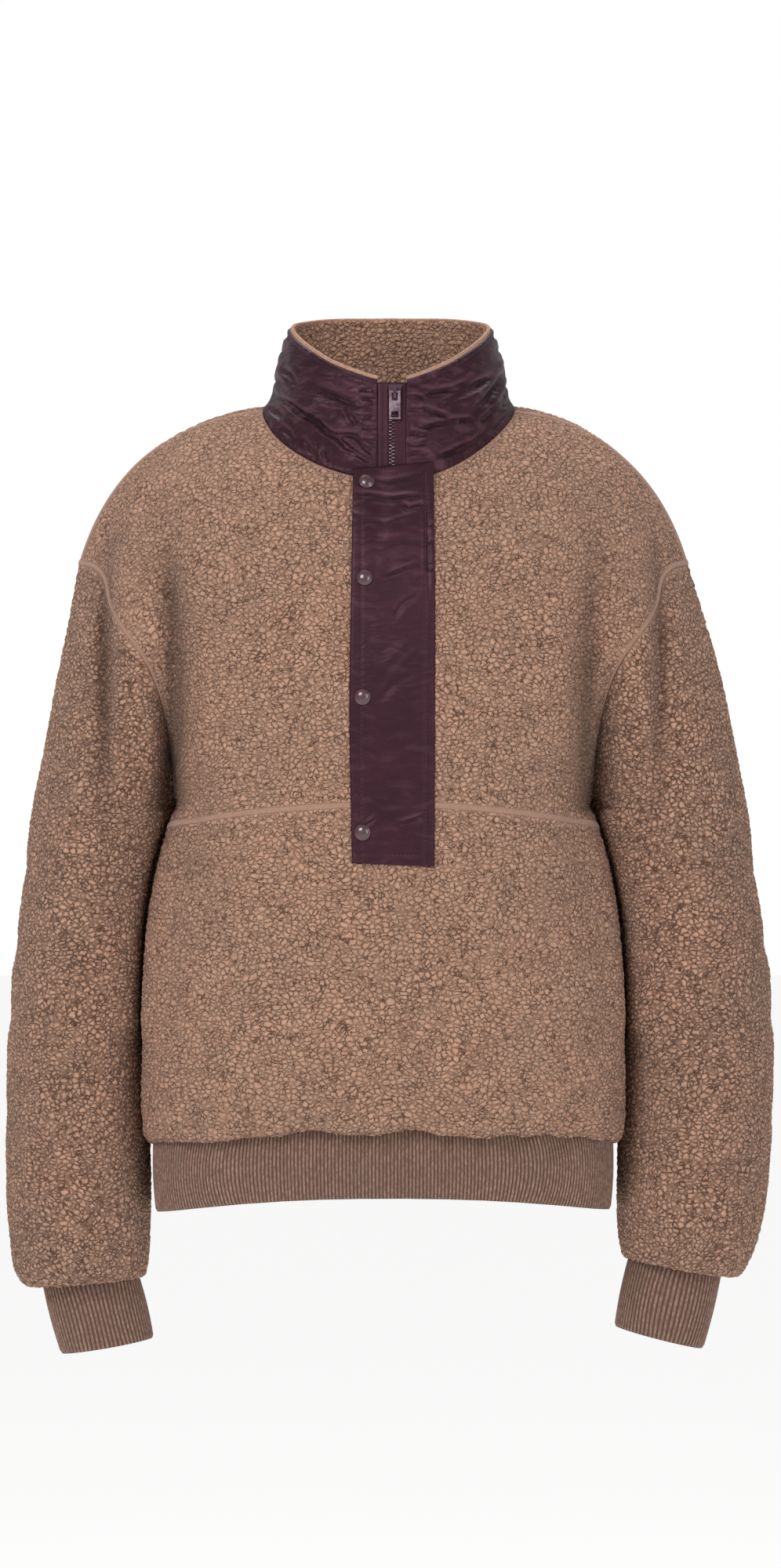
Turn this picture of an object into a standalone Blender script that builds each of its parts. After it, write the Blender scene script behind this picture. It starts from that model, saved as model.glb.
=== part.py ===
import math

import bmesh
import bpy
import numpy as np
from mathutils import Matrix, Vector
from mathutils.bvhtree import BVHTree

# Sizes in metres. +X is the viewer's right, the front faces -Y, +Z is up.
# The origin is the middle of the neck's base, level with the shoulder at the neck.
FLEECE = 0.0030
RIB = 0.0022
NYLON = 0.0010
LINING = 0.0025
LINING_LIFT = 0.0024
SEAM_PULL = 0.00020
ZIP_X = 0.00125
ZIP_HALF = 0.0112
RIB_HEIGHT = 0.0009
HEM_RIBS = 344
CUFF_RIBS = 66
HEM_INNER = 86
CUFF_INNER = 33
SNAP_RADIUS = 0.0060
SNAP_HEIGHT = 0.0022
PULL_LENGTH = 0.0215
PULL_WIDTH = 0.0086
PULL_THICK = 0.0014
AXIS_UP = 0.0020
COLLECTION = "half_zip_fleece_pullover"

# Torso rows from the hem seam up, in mm. S is the point at the centre line, d1 the reach
# of the row's curve out of S, d2 its reach back from E, and E the side seam or armhole.
# row  Sy      Sz      d1x  d1y  d1z   d2x  d2y  d2z    Ex     Ey   Ez
FRONT_ROWS = [
    (0, -116.5, -548.5, 118, 0, -1, 0, -74, 1.5, 186.5, 0, -560),
    (1, -127.0, -551.0, 124, 0, -1, 0, -80, 1.5, 194.0, 0, -564),
    (2, -135.0, -541.0, 127, 0, -1, 0, -84, 1.5, 199.5, 0, -553),
    (3, -141.5, -512.0, 128, 0, -1, 0, -87, 1.0, 200.5, 0, -521),
    (4, -147.0, -470.0, 126, 0, -1, 0, -90, 1.0, 197.0, 0, -477),
    (5, -150.0, -425.0, 122, 0, -1, 0, -92, 1.0, 190.0, 0, -431),
    (6, -151.0, -382.0, 118, 0, -1, 0, -93, 1.0, 182.0, 0, -389),
    (7, -150.0, -342.0, 113, 0, -2, 1, -94, 2.0, 171.0, 0, -354),
    (8, -149.0, -302.0, 107, 0, -3, 3, -96, 4.0, 162.0, 0, -322),
    (9, -148.5, -272.0, 105, 0, -4, 5, -98, 6.0, 158.0, 0, -305),
    (10, -148.5, -236.0, 105, -1, -6, 5, -84, 8.0, 159.5, -22, -287),
    (11, -147.0, -200.0, 105, -2, -8, 5, -68, 9.0, 162.0, -45, -258),
    (12, -142.0, -164.0, 104, -4, -10, 1, -56, 10.0, 167.0, -63, -230),
    (13, -134.0, -128.0, 100, -7, -12, -8, -46, 15.0, 175.5, -75, -205),
    (14, -120.0, -92.0, 95, -13, -16, -18, -34, 22.0, 187.0, -82, -185),
    (15, -98.0, -55.5, 85, -24, -20, -28, -26, 33.0, 200.0, -77, -168),
    (16, 0.0, 0.0, 62, -15, -9, -29, -20, 42.0, 209.5, -65, -150),
    (17, 0.0, 0.0, 53, -8, -1, -22, -15, 47.0, 214.0, -47, -132),
    (18, 0.0, 0.0, 58, -2, 2, -17, -10, 60.0, 222.0, -22, -122),
    (19, 0.0, 0.0, 68, -7, -6, -19.5, -8, 71.0, 234.5, 8, -118),
]
BACK_ROWS = [
    (0, 116.5, -556.0, 118, 0, -1, 0, 74, 0.0, 186.5, 0, -560),
    (1, 127.0, -560.0, 124, 0, -1, 0, 80, 0.0, 194.0, 0, -564),
    (2, 134.0, -549.0, 127, 0, -1, 0, 84, 0.0, 199.5, 0, -553),
    (3, 139.0, -519.0, 128, 0, -1, 0, 87, 0.0, 200.5, 0, -521),
    (4, 143.5, -476.0, 126, 0, -1, 0, 90, 0.0, 197.0, 0, -477),
    (5, 146.0, -430.0, 122, 0, -1, 0, 92, 0.0, 190.0, 0, -431),
    (6, 146.0, -388.0, 118, 0, -1, 0, 93, 0.0, 182.0, 0, -389),
    (7, 144.5, -352.0, 113, 0, -2, 1, 94, 1.0, 171.0, 0, -354),
    (8, 142.5, -316.0, 107, 0, -3, 4, 96, 3.0, 162.0, 0, -322),
    (9, 140.5, -284.0, 105, 0, -3, 6, 98, 5.0, 158.0, 0, -305),
    (10, 140.0, -240.0, 105, 1, -4, 9, 84, 9.0, 160.5, 25, -287),
    (11, 138.5, -197.0, 107, 2, -5, 10, 66, 13.0, 165.0, 48, -258),
    (12, 135.0, -154.0, 107, 3, -6, 6, 52, 17.0, 173.0, 66, -230),
    (13, 129.5, -111.0, 105, 4, -7, -2, 42, 25.0, 182.0, 77, -205),
    (14, 120.0, -68.0, 101, 6, -9, -10, 32, 32.0, 192.0, 82, -182),
    (15, 104.0, -27.0, 97, 9, -12, -17, 24, 42.0, 203.0, 79, -163),
    (16, 78.0, 12.0, 85, 2, -2, -21, 19, 51.0, 211.0, 68, -147),
    (17, 0.0, 0.0, 66, 4, -4, -20, 15, 57.0, 218.0, 51, -133),
    (18, 0.0, 0.0, 60, 0, -2, -18, 9, 65.0, 225.0, 31, -123),
    (19, 0.0, 0.0, 68, -7, -6, -19.5, -8, 71.0, 234.5, 8, -118),
]
UNDERARM = 9
TIP = 19
NECK_FRONT = 15
NECK_BACK = 16
SEAM_ROW = 8
NOTCH_ROW = 7

# The row's place along the neckline, as degrees from the front round to the back.
# row  angle
NECK_ANGLE_FRONT = [(15, 6.6), (16, 25), (17, 48), (18, 70), (19, 90)]
NECK_ANGLE_BACK = [(16, 173.4), (17, 148), (18, 118), (19, 90)]

# Neckline and collar rim by angle from the front, heights in mm.
# angle  neck_z
NECK_Z = [
    (0, -55.5), (15, -54.0), (30, -46.5), (45, -35.0), (60, -22.0),
    (75, -9.0), (90, 0.5), (120, 6.0), (150, 10.5), (180, 12.0),
]
# angle  rim_z
RIM_Z = [
    (0, 18.0), (12, 21.5), (22.6, 26.5), (35, 33.0), (49, 42.0), (64, 51.0),
    (81, 59.5), (100, 65.0), (122, 69.0), (140, 71.5), (180, 73.0),
]
# share of height  inward dip of the collar's side in mm
COLLAR_DIP = [(0, 0.0), (0.17, 4.4), (0.42, 2.4), (0.7, 1.0), (1.0, 0.0)]

# Sleeve rings below the armhole, in mm: outer and inner edge as seen from the front,
# half depth from front to back, and how far back the ring's middle stands.
# ring  Ox  Oz  Ix  Iz  half_depth  middle_y
SLEEVE_LEFT = [
    (1, 253.0, -183, 175.0, -325, 81, 4),
    (2, 265.0, -246, 183.0, -349, 84, 5),
    (3, 275.0, -300, 188.0, -377, 85, 7),
    (4, 283.0, -360, 190.0, -409, 86, 9),
    (5, 291.0, -433, 189.0, -456, 87, 12),
    (6, 296.0, -511, 187.5, -520, 87, 14),
    (7, 296.5, -585, 185.5, -583, 85, 15),
    (8, 294.5, -640, 186.0, -636, 78, 15),
    (9, 290.5, -664, 187.5, -657, 67, 15),
    (10, 281.5, -675, 191.0, -668, 53, 15),
    (11, 269.5, -673, 194.5, -666, 41, 15),
]
SLEEVE_RIGHT = [
    (1, 249.5, -183, 163.0, -325, 81, 4),
    (2, 264.0, -246, 171.0, -349, 84, 5),
    (3, 274.0, -300, 175.5, -377, 85, 7),
    (4, 282.0, -360, 178.0, -409, 86, 9),
    (5, 292.0, -433, 178.0, -456, 87, 12),
    (6, 295.5, -511, 177.0, -520, 87, 14),
    (7, 292.5, -582, 175.5, -578, 85, 15),
    (8, 286.0, -632, 175.5, -624, 78, 15),
    (9, 278.5, -655, 177.5, -643, 67, 15),
    (10, 268.5, -668, 181.0, -653, 53, 15),
    (11, 256.5, -665, 184.0, -652, 41, 15),
]
# cuff  top middle x, bottom middle x, bottom middle z, slope of the bottom, half width, half depth
CUFF_LEFT = (-232.0, -219.0, -721.5, 0.17, 35.5, 38.0)
CUFF_RIGHT = (220.5, 207.5, -715.0, -0.25, 34.0, 37.0)

# Large folds seen from the front, in mm: a trough where depth is positive.
# z  x  depth  half_width
VALLEY_LEFT = [
    (-60, -176, 0, 15), (-94, -172, 3, 15), (-130, -167, 7, 14), (-186, -162, 11, 13),
    (-226, -163, 13, 12), (-270, -166, 13, 11), (-300, -170, 11, 11), (-345, -174, 0, 11),
]
VALLEY_RIGHT = [
    (-60, 162, 0, 15), (-95, 158, 3, 15), (-130, 154, 7, 14), (-186, 150, 11, 13),
    (-226, 149, 13, 12), (-270, 149, 13, 11), (-300, 150, 11, 11), (-345, 155, 0, 11),
]
RIDGE_LEFT = [
    (-80, -196, 0, 15), (-130, -193, -2, 15), (-180, -189, -5, 14), (-220, -184, -7, 14),
    (-262, -180, -7, 13), (-300, -174, -5, 12), (-335, -172, 0, 12),
]
RIDGE_RIGHT = [
    (-80, 185, 0, 15), (-130, 183, -2, 15), (-180, 182, -5, 14), (-220, 181, -7, 14),
    (-262, 178, -7, 13), (-300, 170, -5, 12), (-335, 164, 0, 12),
]
CREASE_LEFT = [
    (-28, -214, 0, 10), (-50, -216, 3, 10), (-80, -217, 6, 10), (-118, -218, 8, 10),
    (-170, -218, 8, 10), (-220, -218, 7, 11), (-263, -217, 5, 12), (-305, -215, 3, 13),
    (-350, -212, 0, 13),
]
CREASE_RIGHT = [
    (-30, 201, 0, 10), (-57, 204, 3, 10), (-80, 205, 6, 10), (-118, 206, 8, 10),
    (-170, 206, 8, 10), (-220, 206, 7, 11), (-263, 205, 5, 12), (-312, 199, 3, 13),
    (-358, 192, 0, 13),
]
BACK_VALLEY_LEFT = [
    (-90, -178, 0, 18), (-140, -174, 5, 17), (-200, -169, 9, 15), (-260, -168, 11, 13),
    (-300, -171, 9, 12), (-345, -176, 0, 12),
]
BACK_VALLEY_RIGHT = [
    (-70, 170, 0, 18), (-130, 165, 6, 17), (-190, 160, 10, 15), (-250, 157, 11, 13),
    (-300, 157, 8, 12), (-345, 160, 0, 12),
]
FRONT_FOLDS = [VALLEY_LEFT, VALLEY_RIGHT, RIDGE_LEFT, RIDGE_RIGHT, CREASE_LEFT, CREASE_RIGHT]
BACK_FOLDS = [BACK_VALLEY_LEFT, BACK_VALLEY_RIGHT]
# z  depth in mm of the hollow that each hanging sleeve presses into the body's side
SIDE_DENT = [(-700, 18), (-560, 22), (-520, 23), (-477, 20), (-431, 14), (-389, 8), (-350, 1), (-330, 0), (0, 0)]


def spline(table, t, first=0):
    """Smooth curve through the rows of a table: column 0 is the place, the rest the values."""
    rows = np.array(table, float)
    x = rows[:, first]
    y = rows[:, first + 1:]
    t = np.clip(np.asarray(t, float), x[0], x[-1])
    step = np.diff(x)
    slope = np.diff(y, axis=0) / step[:, None]
    m = np.empty_like(y)
    m[0] = slope[0]
    m[-1] = slope[-1]
    if len(x) > 2:
        w = step[1:, None]
        u = step[:-1, None]
        m[1:-1] = (slope[:-1] * w + slope[1:] * u) / (u + w)
    k = np.clip(np.searchsorted(x, t, side="right") - 1, 0, len(x) - 2)
    h = step[k]
    f = ((t - x[k]) / h)[..., None]
    h = h[..., None]
    a = y[k]
    b = y[k + 1]
    return ((2 * f**3 - 3 * f**2 + 1) * a + (f**3 - 2 * f**2 + f) * h * m[k]
            + (3 * f**2 - 2 * f**3) * b + (f**3 - f**2) * h * m[k + 1])


def ease(t):
    t = np.clip(t, 0.0, 1.0)
    return t * t * (3.0 - 2.0 * t)


def lean(p):
    """The wearer stands a little to the viewer's left: a small sideways shift below the neck."""
    shift = -5.5 * ease((20.0 - p[..., 2]) / 60.0) * ease(np.abs(p[..., 0]) / 120.0)
    p[..., 0] += shift + ZIP_X * 1000.0 * (1.0 - ease(np.abs(p[..., 0]) / 60.0))
    return p


def neck(angle):
    """Neckline point at an angle in degrees from the front centre."""
    a = np.radians(angle)
    c = np.cos(a)
    depth = np.where(c > 0, 93.0, 83.0)
    return np.stack([97.0 * np.sin(a), -5.0 - depth * c, spline(NECK_Z, angle)[..., 0]], axis=-1)


def row_parts(rows, v, neck_row, neck_table):
    """Centre-line point, its reach, the edge's reach and the edge point of each row v."""
    table = np.array(rows, float)
    v = np.asarray(v, float)
    low = table[: neck_row + 1]
    start = np.zeros(v.shape + (3,))
    start[..., 1:] = spline(low[:, [0, 1, 2]], v)
    on_neck = neck(spline(neck_table, np.maximum(v, neck_row))[..., 0])
    start = np.where((v >= neck_row)[..., None], on_neck, start)
    d1 = spline(table[:, [0, 3, 4, 5]], v)
    d2 = spline(table[:, [0, 6, 7, 8]], v)
    side = spline(table[: UNDERARM + 1][:, [0, 9, 10, 11]], v)
    arm = spline(table[UNDERARM:][:, [0, 9, 10, 11]], v)
    edge = np.where((v > UNDERARM)[..., None], arm, side)
    return start, start + d1, edge + d2, edge


def bezier(p0, p1, p2, p3, s):
    s = s[..., None]
    q = 1.0 - s
    return q**3 * p0 + 3 * q**2 * s * p1 + 3 * q * s**2 * p2 + s**3 * p3


def press_side(p):
    """Hollow in the body's side beside the hanging sleeve."""
    depth = spline(SIDE_DENT, p[..., 2])[..., 0]
    p[..., 0] -= depth * np.exp(-(((p[..., 1] - 15.0) / 58.0) ** 2)) * ease(p[..., 0] / 90.0)
    return p


def half_base(parts, s, cut):
    """Half of a torso panel in mm; cut starts it at the zip's edge, not the centre line."""
    p0, p1, p2, p3 = parts
    s0 = np.zeros(s.shape)
    if cut:
        gap = ZIP_HALF * 1000.0
        need = p0[..., 0] < gap - 0.1
        for _ in range(12):
            x = bezier(p0, p1, p2, p3, s0)[..., 0]
            s0 = np.where(need, s0 + (gap - x) / (3.0 * (p1 - p0)[..., 0]), 0.0)
    return press_side(bezier(p0, p1, p2, p3, s0 + (1.0 - s0) * s))


def front_base(s, v, cut=True):
    """Right half of the front in mm, s from the zip's edge to the side, v the row."""
    s, v = np.broadcast_arrays(np.asarray(s, float), np.asarray(v, float))
    return half_base(row_parts(FRONT_ROWS, v, NECK_FRONT, NECK_ANGLE_FRONT), s, cut)


def back_base(s, v, cut=True):
    """Right half of the back in mm, s from beside the centre line to the side, v the row."""
    s, v = np.broadcast_arrays(np.asarray(s, float), np.asarray(v, float))
    return half_base(row_parts(BACK_ROWS, v, NECK_BACK, NECK_ANGLE_BACK), s, cut)


def fold_shift(p, folds):
    total = np.zeros(p.shape[:-1])
    for table in folds:
        rows = sorted(table)
        x, depth, width = np.moveaxis(spline(rows, p[..., 2]), -1, 0)
        lo, hi = rows[0][0], rows[-1][0]
        fade = ease((p[..., 2] - lo) / 25.0) * ease((hi - p[..., 2]) / 25.0)
        total += depth * fade * np.exp(-(((p[..., 0] - x) / width) ** 2))
    return total


def step_back(p):
    """Outside the sleeve's front crease the cloth stands a little further back."""
    out = np.zeros(p.shape[:-1])
    for table, sign in ((CREASE_LEFT, -1.0), (CREASE_RIGHT, 1.0)):
        rows = sorted(table)
        x = spline(rows, p[..., 2])[..., 0]
        fade = ease((p[..., 2] + 350.0) / 90.0) * ease((-40.0 - p[..., 2]) / 60.0)
        out += 4.5 * fade * ease((sign * (p[..., 0] - x) + 2.0) / 14.0)
    return out


def shape(p):
    """Large folds, as shifts from front to back that fade out towards the side seams."""
    front = ease((-p[..., 1] - 8.0) / 35.0)
    back = ease((p[..., 1] - 12.0) / 35.0)
    shift = front * (fold_shift(p, FRONT_FOLDS) + step_back(p)) - back * fold_shift(p, BACK_FOLDS)
    p[..., 1] += shift
    return p


def flip(p, side):
    if side < 0:
        p[..., 0] *= -1.0
    return p


def front_raw(s, v, side, cut=True):
    return lean(flip(front_base(s, v, cut), side))


def back_raw(s, v, side, cut=True):
    return lean(flip(back_base(s, v, cut), side))


def front_point(s, v, side, cut=True):
    return shape(front_raw(s, v, side, cut)) * 0.001


def back_point(s, v, side, cut=True):
    return shape(back_raw(s, v, side, cut)) * 0.001


def ring_point(o, i, half, middle, turn, side):
    """Point on a slanted oval ring: turn 0 at the inner edge, 5 front, 10 outer, 15 back."""
    a = turn / 20.0 * 2.0 * math.pi
    mid = 0.5 * (o + i)
    reach = 0.5 * (i - o)
    x = mid[..., 0] + reach[..., 0] * np.cos(a)
    z = mid[..., 1] + reach[..., 1] * np.cos(a)
    y = middle - half * np.sin(a)
    return np.stack([side * x, y, z], axis=-1)


def sleeve_point(turn, w, side):
    """Sleeve surface: turn round the arm, w along it from the armhole to the cuff's seam."""
    turn, w = np.broadcast_arrays(np.asarray(turn, float), np.asarray(w, float))
    table = np.array(SLEEVE_LEFT if side < 0 else SLEEVE_RIGHT, float)
    front = front_raw(np.ones(turn.shape), UNDERARM + np.minimum(turn, 10.0), side)
    back = back_raw(np.ones(turn.shape), UNDERARM + np.minimum(20.0 - turn, 10.0), side)
    armhole = np.where((turn <= 10.0)[..., None], front, back)
    knots = [armhole]
    for row in table:
        o = np.broadcast_to(row[[1, 2]], turn.shape + (2,))
        i = np.broadcast_to(row[[3, 4]], turn.shape + (2,))
        knots.append(ring_point(o, i, row[5], row[6], turn, side))
    knots = np.stack(knots)
    n = len(knots) - 1
    k = np.clip(np.floor(w).astype(int), 0, n - 1)
    f = (w - k)[..., None]
    span = np.linalg.norm(np.diff(knots, axis=0), axis=-1)[..., None]
    slope = np.diff(knots, axis=0) / np.maximum(span, 1.0)
    m = np.concatenate([slope[:1], 0.5 * (slope[:-1] + slope[1:]), slope[-1:]])
    pick = np.arange(turn.size)

    def take(array, index):
        flat = array.reshape(array.shape[0], turn.size, -1)
        return flat[index.ravel(), pick].reshape(turn.shape + (array.shape[-1],))

    h = take(span, k)
    a = take(knots, k)
    b = take(knots, k + 1)
    ma = take(m, k)
    mb = take(m, k + 1)
    p = ((2 * f**3 - 3 * f**2 + 1) * a + (f**3 - 2 * f**2 + f) * h * ma
         + (3 * f**2 - 2 * f**3) * b + (f**3 - f**2) * h * mb)
    return shape(p) * 0.001


def collar_point(angle, rise, side):
    """Collar's outer face: angle in degrees from the front, rise 0 at the seam, 1 at the rim."""
    angle, rise = np.broadcast_arrays(np.asarray(angle, float), np.asarray(rise, float))
    a = np.radians(angle)
    c = np.cos(a)
    s = np.sin(a)
    base = neck(angle)
    rim = np.stack([78.5 * s, -4.0 - np.where(c > 0, 84.0, 76.0) * c, spline(RIM_Z, angle)[..., 0]], axis=-1)
    f = rise[..., None]
    p = base * (1.0 - f) + rim * f
    dip = spline(COLLAR_DIP, rise)[..., 0] * s**2 - 0.8 * np.sin(math.pi * rise) * (1.0 - s**2)
    p[..., 0] -= dip * s
    p[..., 1] += dip * c
    return lean(flip(p, side)) * 0.001


def front_angle(rise):
    """Angle at which the collar meets the zip's edge."""
    width = 97.0 + (78.5 - 97.0) * rise
    return math.degrees(math.asin(ZIP_HALF * 1000.0 / width))


# Grids of outer points. Column and row places are shared by all panels that meet.
COLUMNS = np.array([0, 0.13, 0.26, 0.38, 0.49, 0.59, 0.68, 0.76, 0.83, 0.89, 0.95, 1.0])
SLEEVE_PLACES = np.array([0, 0.35, 0.7, 1, 1.5, 2, 2.5, 3, 4, 5, 6, 7, 8, 9, 10, 11])
ROWS_FRONT = np.concatenate([np.arange(0, 15), np.arange(15, 19.1, 0.5)])
ROWS_BACK = np.concatenate([np.arange(0, 16), np.arange(16, 19.1, 0.5)])
TURNS = np.concatenate([ROWS_FRONT[UNDERARM:] - 9, (29 - ROWS_BACK[UNDERARM:])[::-1][1:]])


def half_grids():
    """Outer grids of every fleece panel as arrays [row, column, xyz]."""
    grids = {}
    upper = ROWS_FRONT[SEAM_ROW:, None]
    lower = ROWS_FRONT[: SEAM_ROW + 1, None]
    whole = ROWS_BACK[:, None]
    s = COLUMNS[None, :]
    grids["front_upper_right"] = front_point(s, upper, 1)
    grids["front_upper_left"] = front_point(s, upper, -1)[:, ::-1]
    right = front_point(s, lower, 1)
    left = front_point(s, lower, -1)[:, ::-1]
    grids["front_lower"] = np.concatenate([left, right], axis=1)
    back = np.concatenate([back_point(s, whole, 1)[:, ::-1], back_point(s, whole, -1)], axis=1)
    grids["back"] = back
    turn = TURNS[None, :]
    along = SLEEVE_PLACES[:, None]
    grids["sleeve_right"] = sleeve_point(turn, along, 1)[::-1]
    grids["sleeve_left"] = sleeve_point(turn, along, -1)[::-1, ::-1]
    return grids


def cells(name, shape_rc):
    """Cells of a grid that carry cloth, as (row, column)."""
    rows, cols = shape_rc
    out = []
    middle = len(COLUMNS) - 1
    for r in range(rows - 1):
        for c in range(cols - 1):
            if name == "front_lower" and c == middle and r >= NOTCH_ROW:
                continue
            if name == "back" and c == middle and r >= NECK_BACK:
                continue
            out.append((r, c))
    return out


def shared_normals(grids):
    """Normals summed over all panels that meet at a point, so that seams are mitred."""
    every = np.vstack([g.reshape(-1, 3) for g in grids.values()])
    near = np.abs(every[:, None, 0] - every[None, :, 0]) < 1e-6
    near &= np.abs(every[:, None, 1] - every[None, :, 1]) < 1e-6
    near &= np.abs(every[:, None, 2] - every[None, :, 2]) < 1e-6
    first = near.argmax(axis=1)
    total = np.zeros((len(every), 3))
    ids = {}
    at = 0
    for name, g in grids.items():
        count = g.shape[0] * g.shape[1]
        ids[name] = first[at:at + count].reshape(g.shape[:2])
        at += count
        for r, c in cells(name, g.shape[:2]):
            n = np.cross(g[r + 1, c + 1] - g[r, c], g[r + 1, c] - g[r, c + 1])
            for q in ((r, c), (r, c + 1), (r + 1, c + 1), (r + 1, c)):
                total[ids[name][q]] += n
    total /= np.linalg.norm(total, axis=1, keepdims=True) + 1e-15
    return {name: total[ids[name]] for name in grids}


def pulled(points, pull):
    """Moves the four edges of a grid a little towards its middle, leaving a seam's gap."""
    out = points.copy()

    def towards(a, b):
        d = b - a
        return d / np.linalg.norm(d, axis=-1, keepdims=True) * SEAM_PULL

    if "bottom" in pull:
        out[0] += towards(points[0], points[1])
    if "top" in pull:
        out[-1] += towards(points[-1], points[-2])
    if "start" in pull:
        out[:, 0] += towards(points[:, 0], points[:, 1])
    if "end" in pull:
        out[:, -1] += towards(points[:, -1], points[:, -2])
    return out


def wall_mesh(name, outer, inner, faces_rc, wrap=False, seam=None):
    """Closed wall between two grids of the same size, open where a cell is left out.

    seam holds the points before the seam's gap: two panels split their edges alike by it.
    """
    seam = outer if seam is None else seam
    order = seam @ np.array([0.317, 0.533, 1.0])
    rows, cols = outer.shape[:2]
    used = cols - 1 if wrap else cols
    verts = []
    index = {}

    def vert(layer, r, c):
        c = c % used if wrap else c
        k = (layer, r, c)
        if k not in index:
            index[k] = len(verts)
            verts.append(tuple((outer if layer == 0 else inner)[r, c]))
        return index[k]

    faces = []
    edges = {}
    for r, c in faces_rc:
        ring = [(r, c), (r, c + 1), (r + 1, c + 1), (r + 1, c)]
        faces.append([vert(0, *q) for q in ring])
        faces.append([vert(1, *q) for q in reversed(ring)])
        for a, b in zip(ring, ring[1:] + ring[:1]):
            ka = (a[0], a[1] % used if wrap else a[1])
            kb = (b[0], b[1] % used if wrap else b[1])
            if (kb, ka) in edges:
                del edges[(kb, ka)]
            else:
                edges[(ka, kb)] = True
    for a, b in edges:
        if order[a] < order[b]:
            faces.append([vert(0, *b), vert(0, *a), vert(1, *b)])
            faces.append([vert(0, *a), vert(1, *a), vert(1, *b)])
        else:
            faces.append([vert(0, *b), vert(0, *a), vert(1, *a)])
            faces.append([vert(0, *b), vert(1, *a), vert(1, *b)])
    return add_mesh(name, verts, faces)


def add_mesh(name, verts, faces):
    mesh = bpy.data.meshes.new(name)
    mesh.from_pydata(verts, [], faces)
    bm = bmesh.new()
    bm.from_mesh(mesh)
    bmesh.ops.recalc_face_normals(bm, faces=bm.faces)
    bm.to_mesh(mesh)
    bm.free()
    obj = bpy.data.objects.new(name, mesh)
    target.objects.link(obj)
    return obj


def material(name, colour, rough, metal=0.0):
    mat = bpy.data.materials.new(name)
    mat.use_nodes = True
    node = mat.node_tree.nodes["Principled BSDF"]
    node.inputs["Base Color"].default_value = (*colour, 1.0)
    node.inputs["Roughness"].default_value = rough
    node.inputs["Metallic"].default_value = metal
    mat.diffuse_color = (*colour, 1.0)
    return mat


def paint(obj, colour, rough, metal=0.0):
    obj.data.materials.clear()
    obj.data.materials.append(material(obj.name, colour, rough, metal))


for old in list(bpy.data.objects):
    bpy.data.objects.remove(old)
target = bpy.data.collections.new(COLLECTION)
bpy.context.scene.collection.children.link(target)

FLEECE_COLOUR = (0.36, 0.23, 0.17)
RIB_COLOUR = (0.19, 0.125, 0.10)
NYLON_COLOUR = (0.060, 0.028, 0.038)
METAL_COLOUR = (0.40, 0.30, 0.36)

# Fleece panels.
grids = half_grids()
normals = shared_normals(grids)
PULLS = {
    "front_upper_right": ("bottom", "top", "start", "end"),
    "front_upper_left": ("bottom", "top", "start", "end"),
    "front_lower": ("bottom", "top", "start", "end"),
    "back": ("bottom", "top", "start", "end"),
    "sleeve_right": ("bottom", "top"),
    "sleeve_left": ("bottom", "top"),
}
for name, grid in grids.items():
    inner = grid - normals[name] * FLEECE
    outer = pulled(grid, PULLS[name])
    inner = pulled(inner, PULLS[name])
    tube = name.startswith("sleeve")
    wall = wall_mesh(name, outer, inner, cells(name, grid.shape[:2]), wrap=tube, seam=grid)
    paint(wall, FLEECE_COLOUR, 0.95)


def ribbed_tube(name, top, bottom, centre_top, centre_bottom, ribs, inner_count, wall):
    """Tube from two fine rings: ribs raised in the outer points over a plain inside."""
    count = ribs * 2
    step = count // inner_count

    def spread(ring, centre, by):
        out = ring - centre
        flat = out.copy()
        flat[:, 2] = 0.0
        unit = flat / np.linalg.norm(flat, axis=1, keepdims=True)
        return ring + unit * by

    raise_by = np.where(np.arange(count) % 2 == 0, RIB_HEIGHT * 0.5, -RIB_HEIGHT * 0.5)[:, None]
    rings = [
        spread(top, centre_top, raise_by),
        spread(bottom, centre_bottom, raise_by),
        spread(top, centre_top, -wall)[::step],
        spread(bottom, centre_bottom, -wall)[::step],
    ]
    verts = [tuple(p) for ring in rings for p in ring]
    start = [0, count, 2 * count, 2 * count + inner_count]
    faces = []
    for i in range(count):
        j = (i + 1) % count
        faces.append([start[0] + i, start[0] + j, start[1] + j, start[1] + i])
    for i in range(inner_count):
        j = (i + 1) % inner_count
        faces.append([start[3] + i, start[3] + j, start[2] + j, start[2] + i])
        for o, n in ((start[0], start[2]), (start[1], start[3])):
            half = step // 2
            fine = [o + (i * step + k) % count for k in range(step + 1)]
            for k in range(step):
                near = n + i if k < half else n + j
                faces.append([near, fine[k], fine[k + 1]])
            faces.append([n + i, fine[half], n + j])
    return add_mesh(name, verts, faces)


def even_ring(points, count):
    """Places count points evenly along a closed polyline."""
    closed = np.vstack([points, points[:1]])
    length = np.concatenate([[0.0], np.cumsum(np.linalg.norm(np.diff(closed, axis=0), axis=1))])
    at = np.arange(count) / count * length[-1]
    return np.stack([np.interp(at, length, closed[:, k]) for k in range(3)], axis=1)


def hem_rings():
    s = np.linspace(0, 1, 61)
    front_right = front_point(s, np.zeros(61), 1, cut=False)
    back_right = back_point(s, np.zeros(61), 1, cut=False)
    back_left = back_point(s, np.zeros(61), -1, cut=False)
    front_left = front_point(s, np.zeros(61), -1, cut=False)
    loop = np.vstack([front_right, back_right[::-1][1:], back_left[1:], front_left[::-1][1:-1]])
    top = even_ring(loop, HEM_RIBS * 2)
    bottom = top.copy()
    x = top[:, 0]
    y = top[:, 1]
    side = np.clip(np.abs(x) / 0.186, 0, 1)
    bottom[:, 0] = x * (1.0 - 0.012 * side)
    bottom[:, 1] = y * 0.985
    drop = np.where(y < 0, 0.0, 0.003) * ease(np.abs(y) / 0.05)
    bottom[:, 2] = -0.6015 - 0.0155 * side**2.2 - drop
    top[:, 2] -= 0.0007
    return top, bottom


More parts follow.
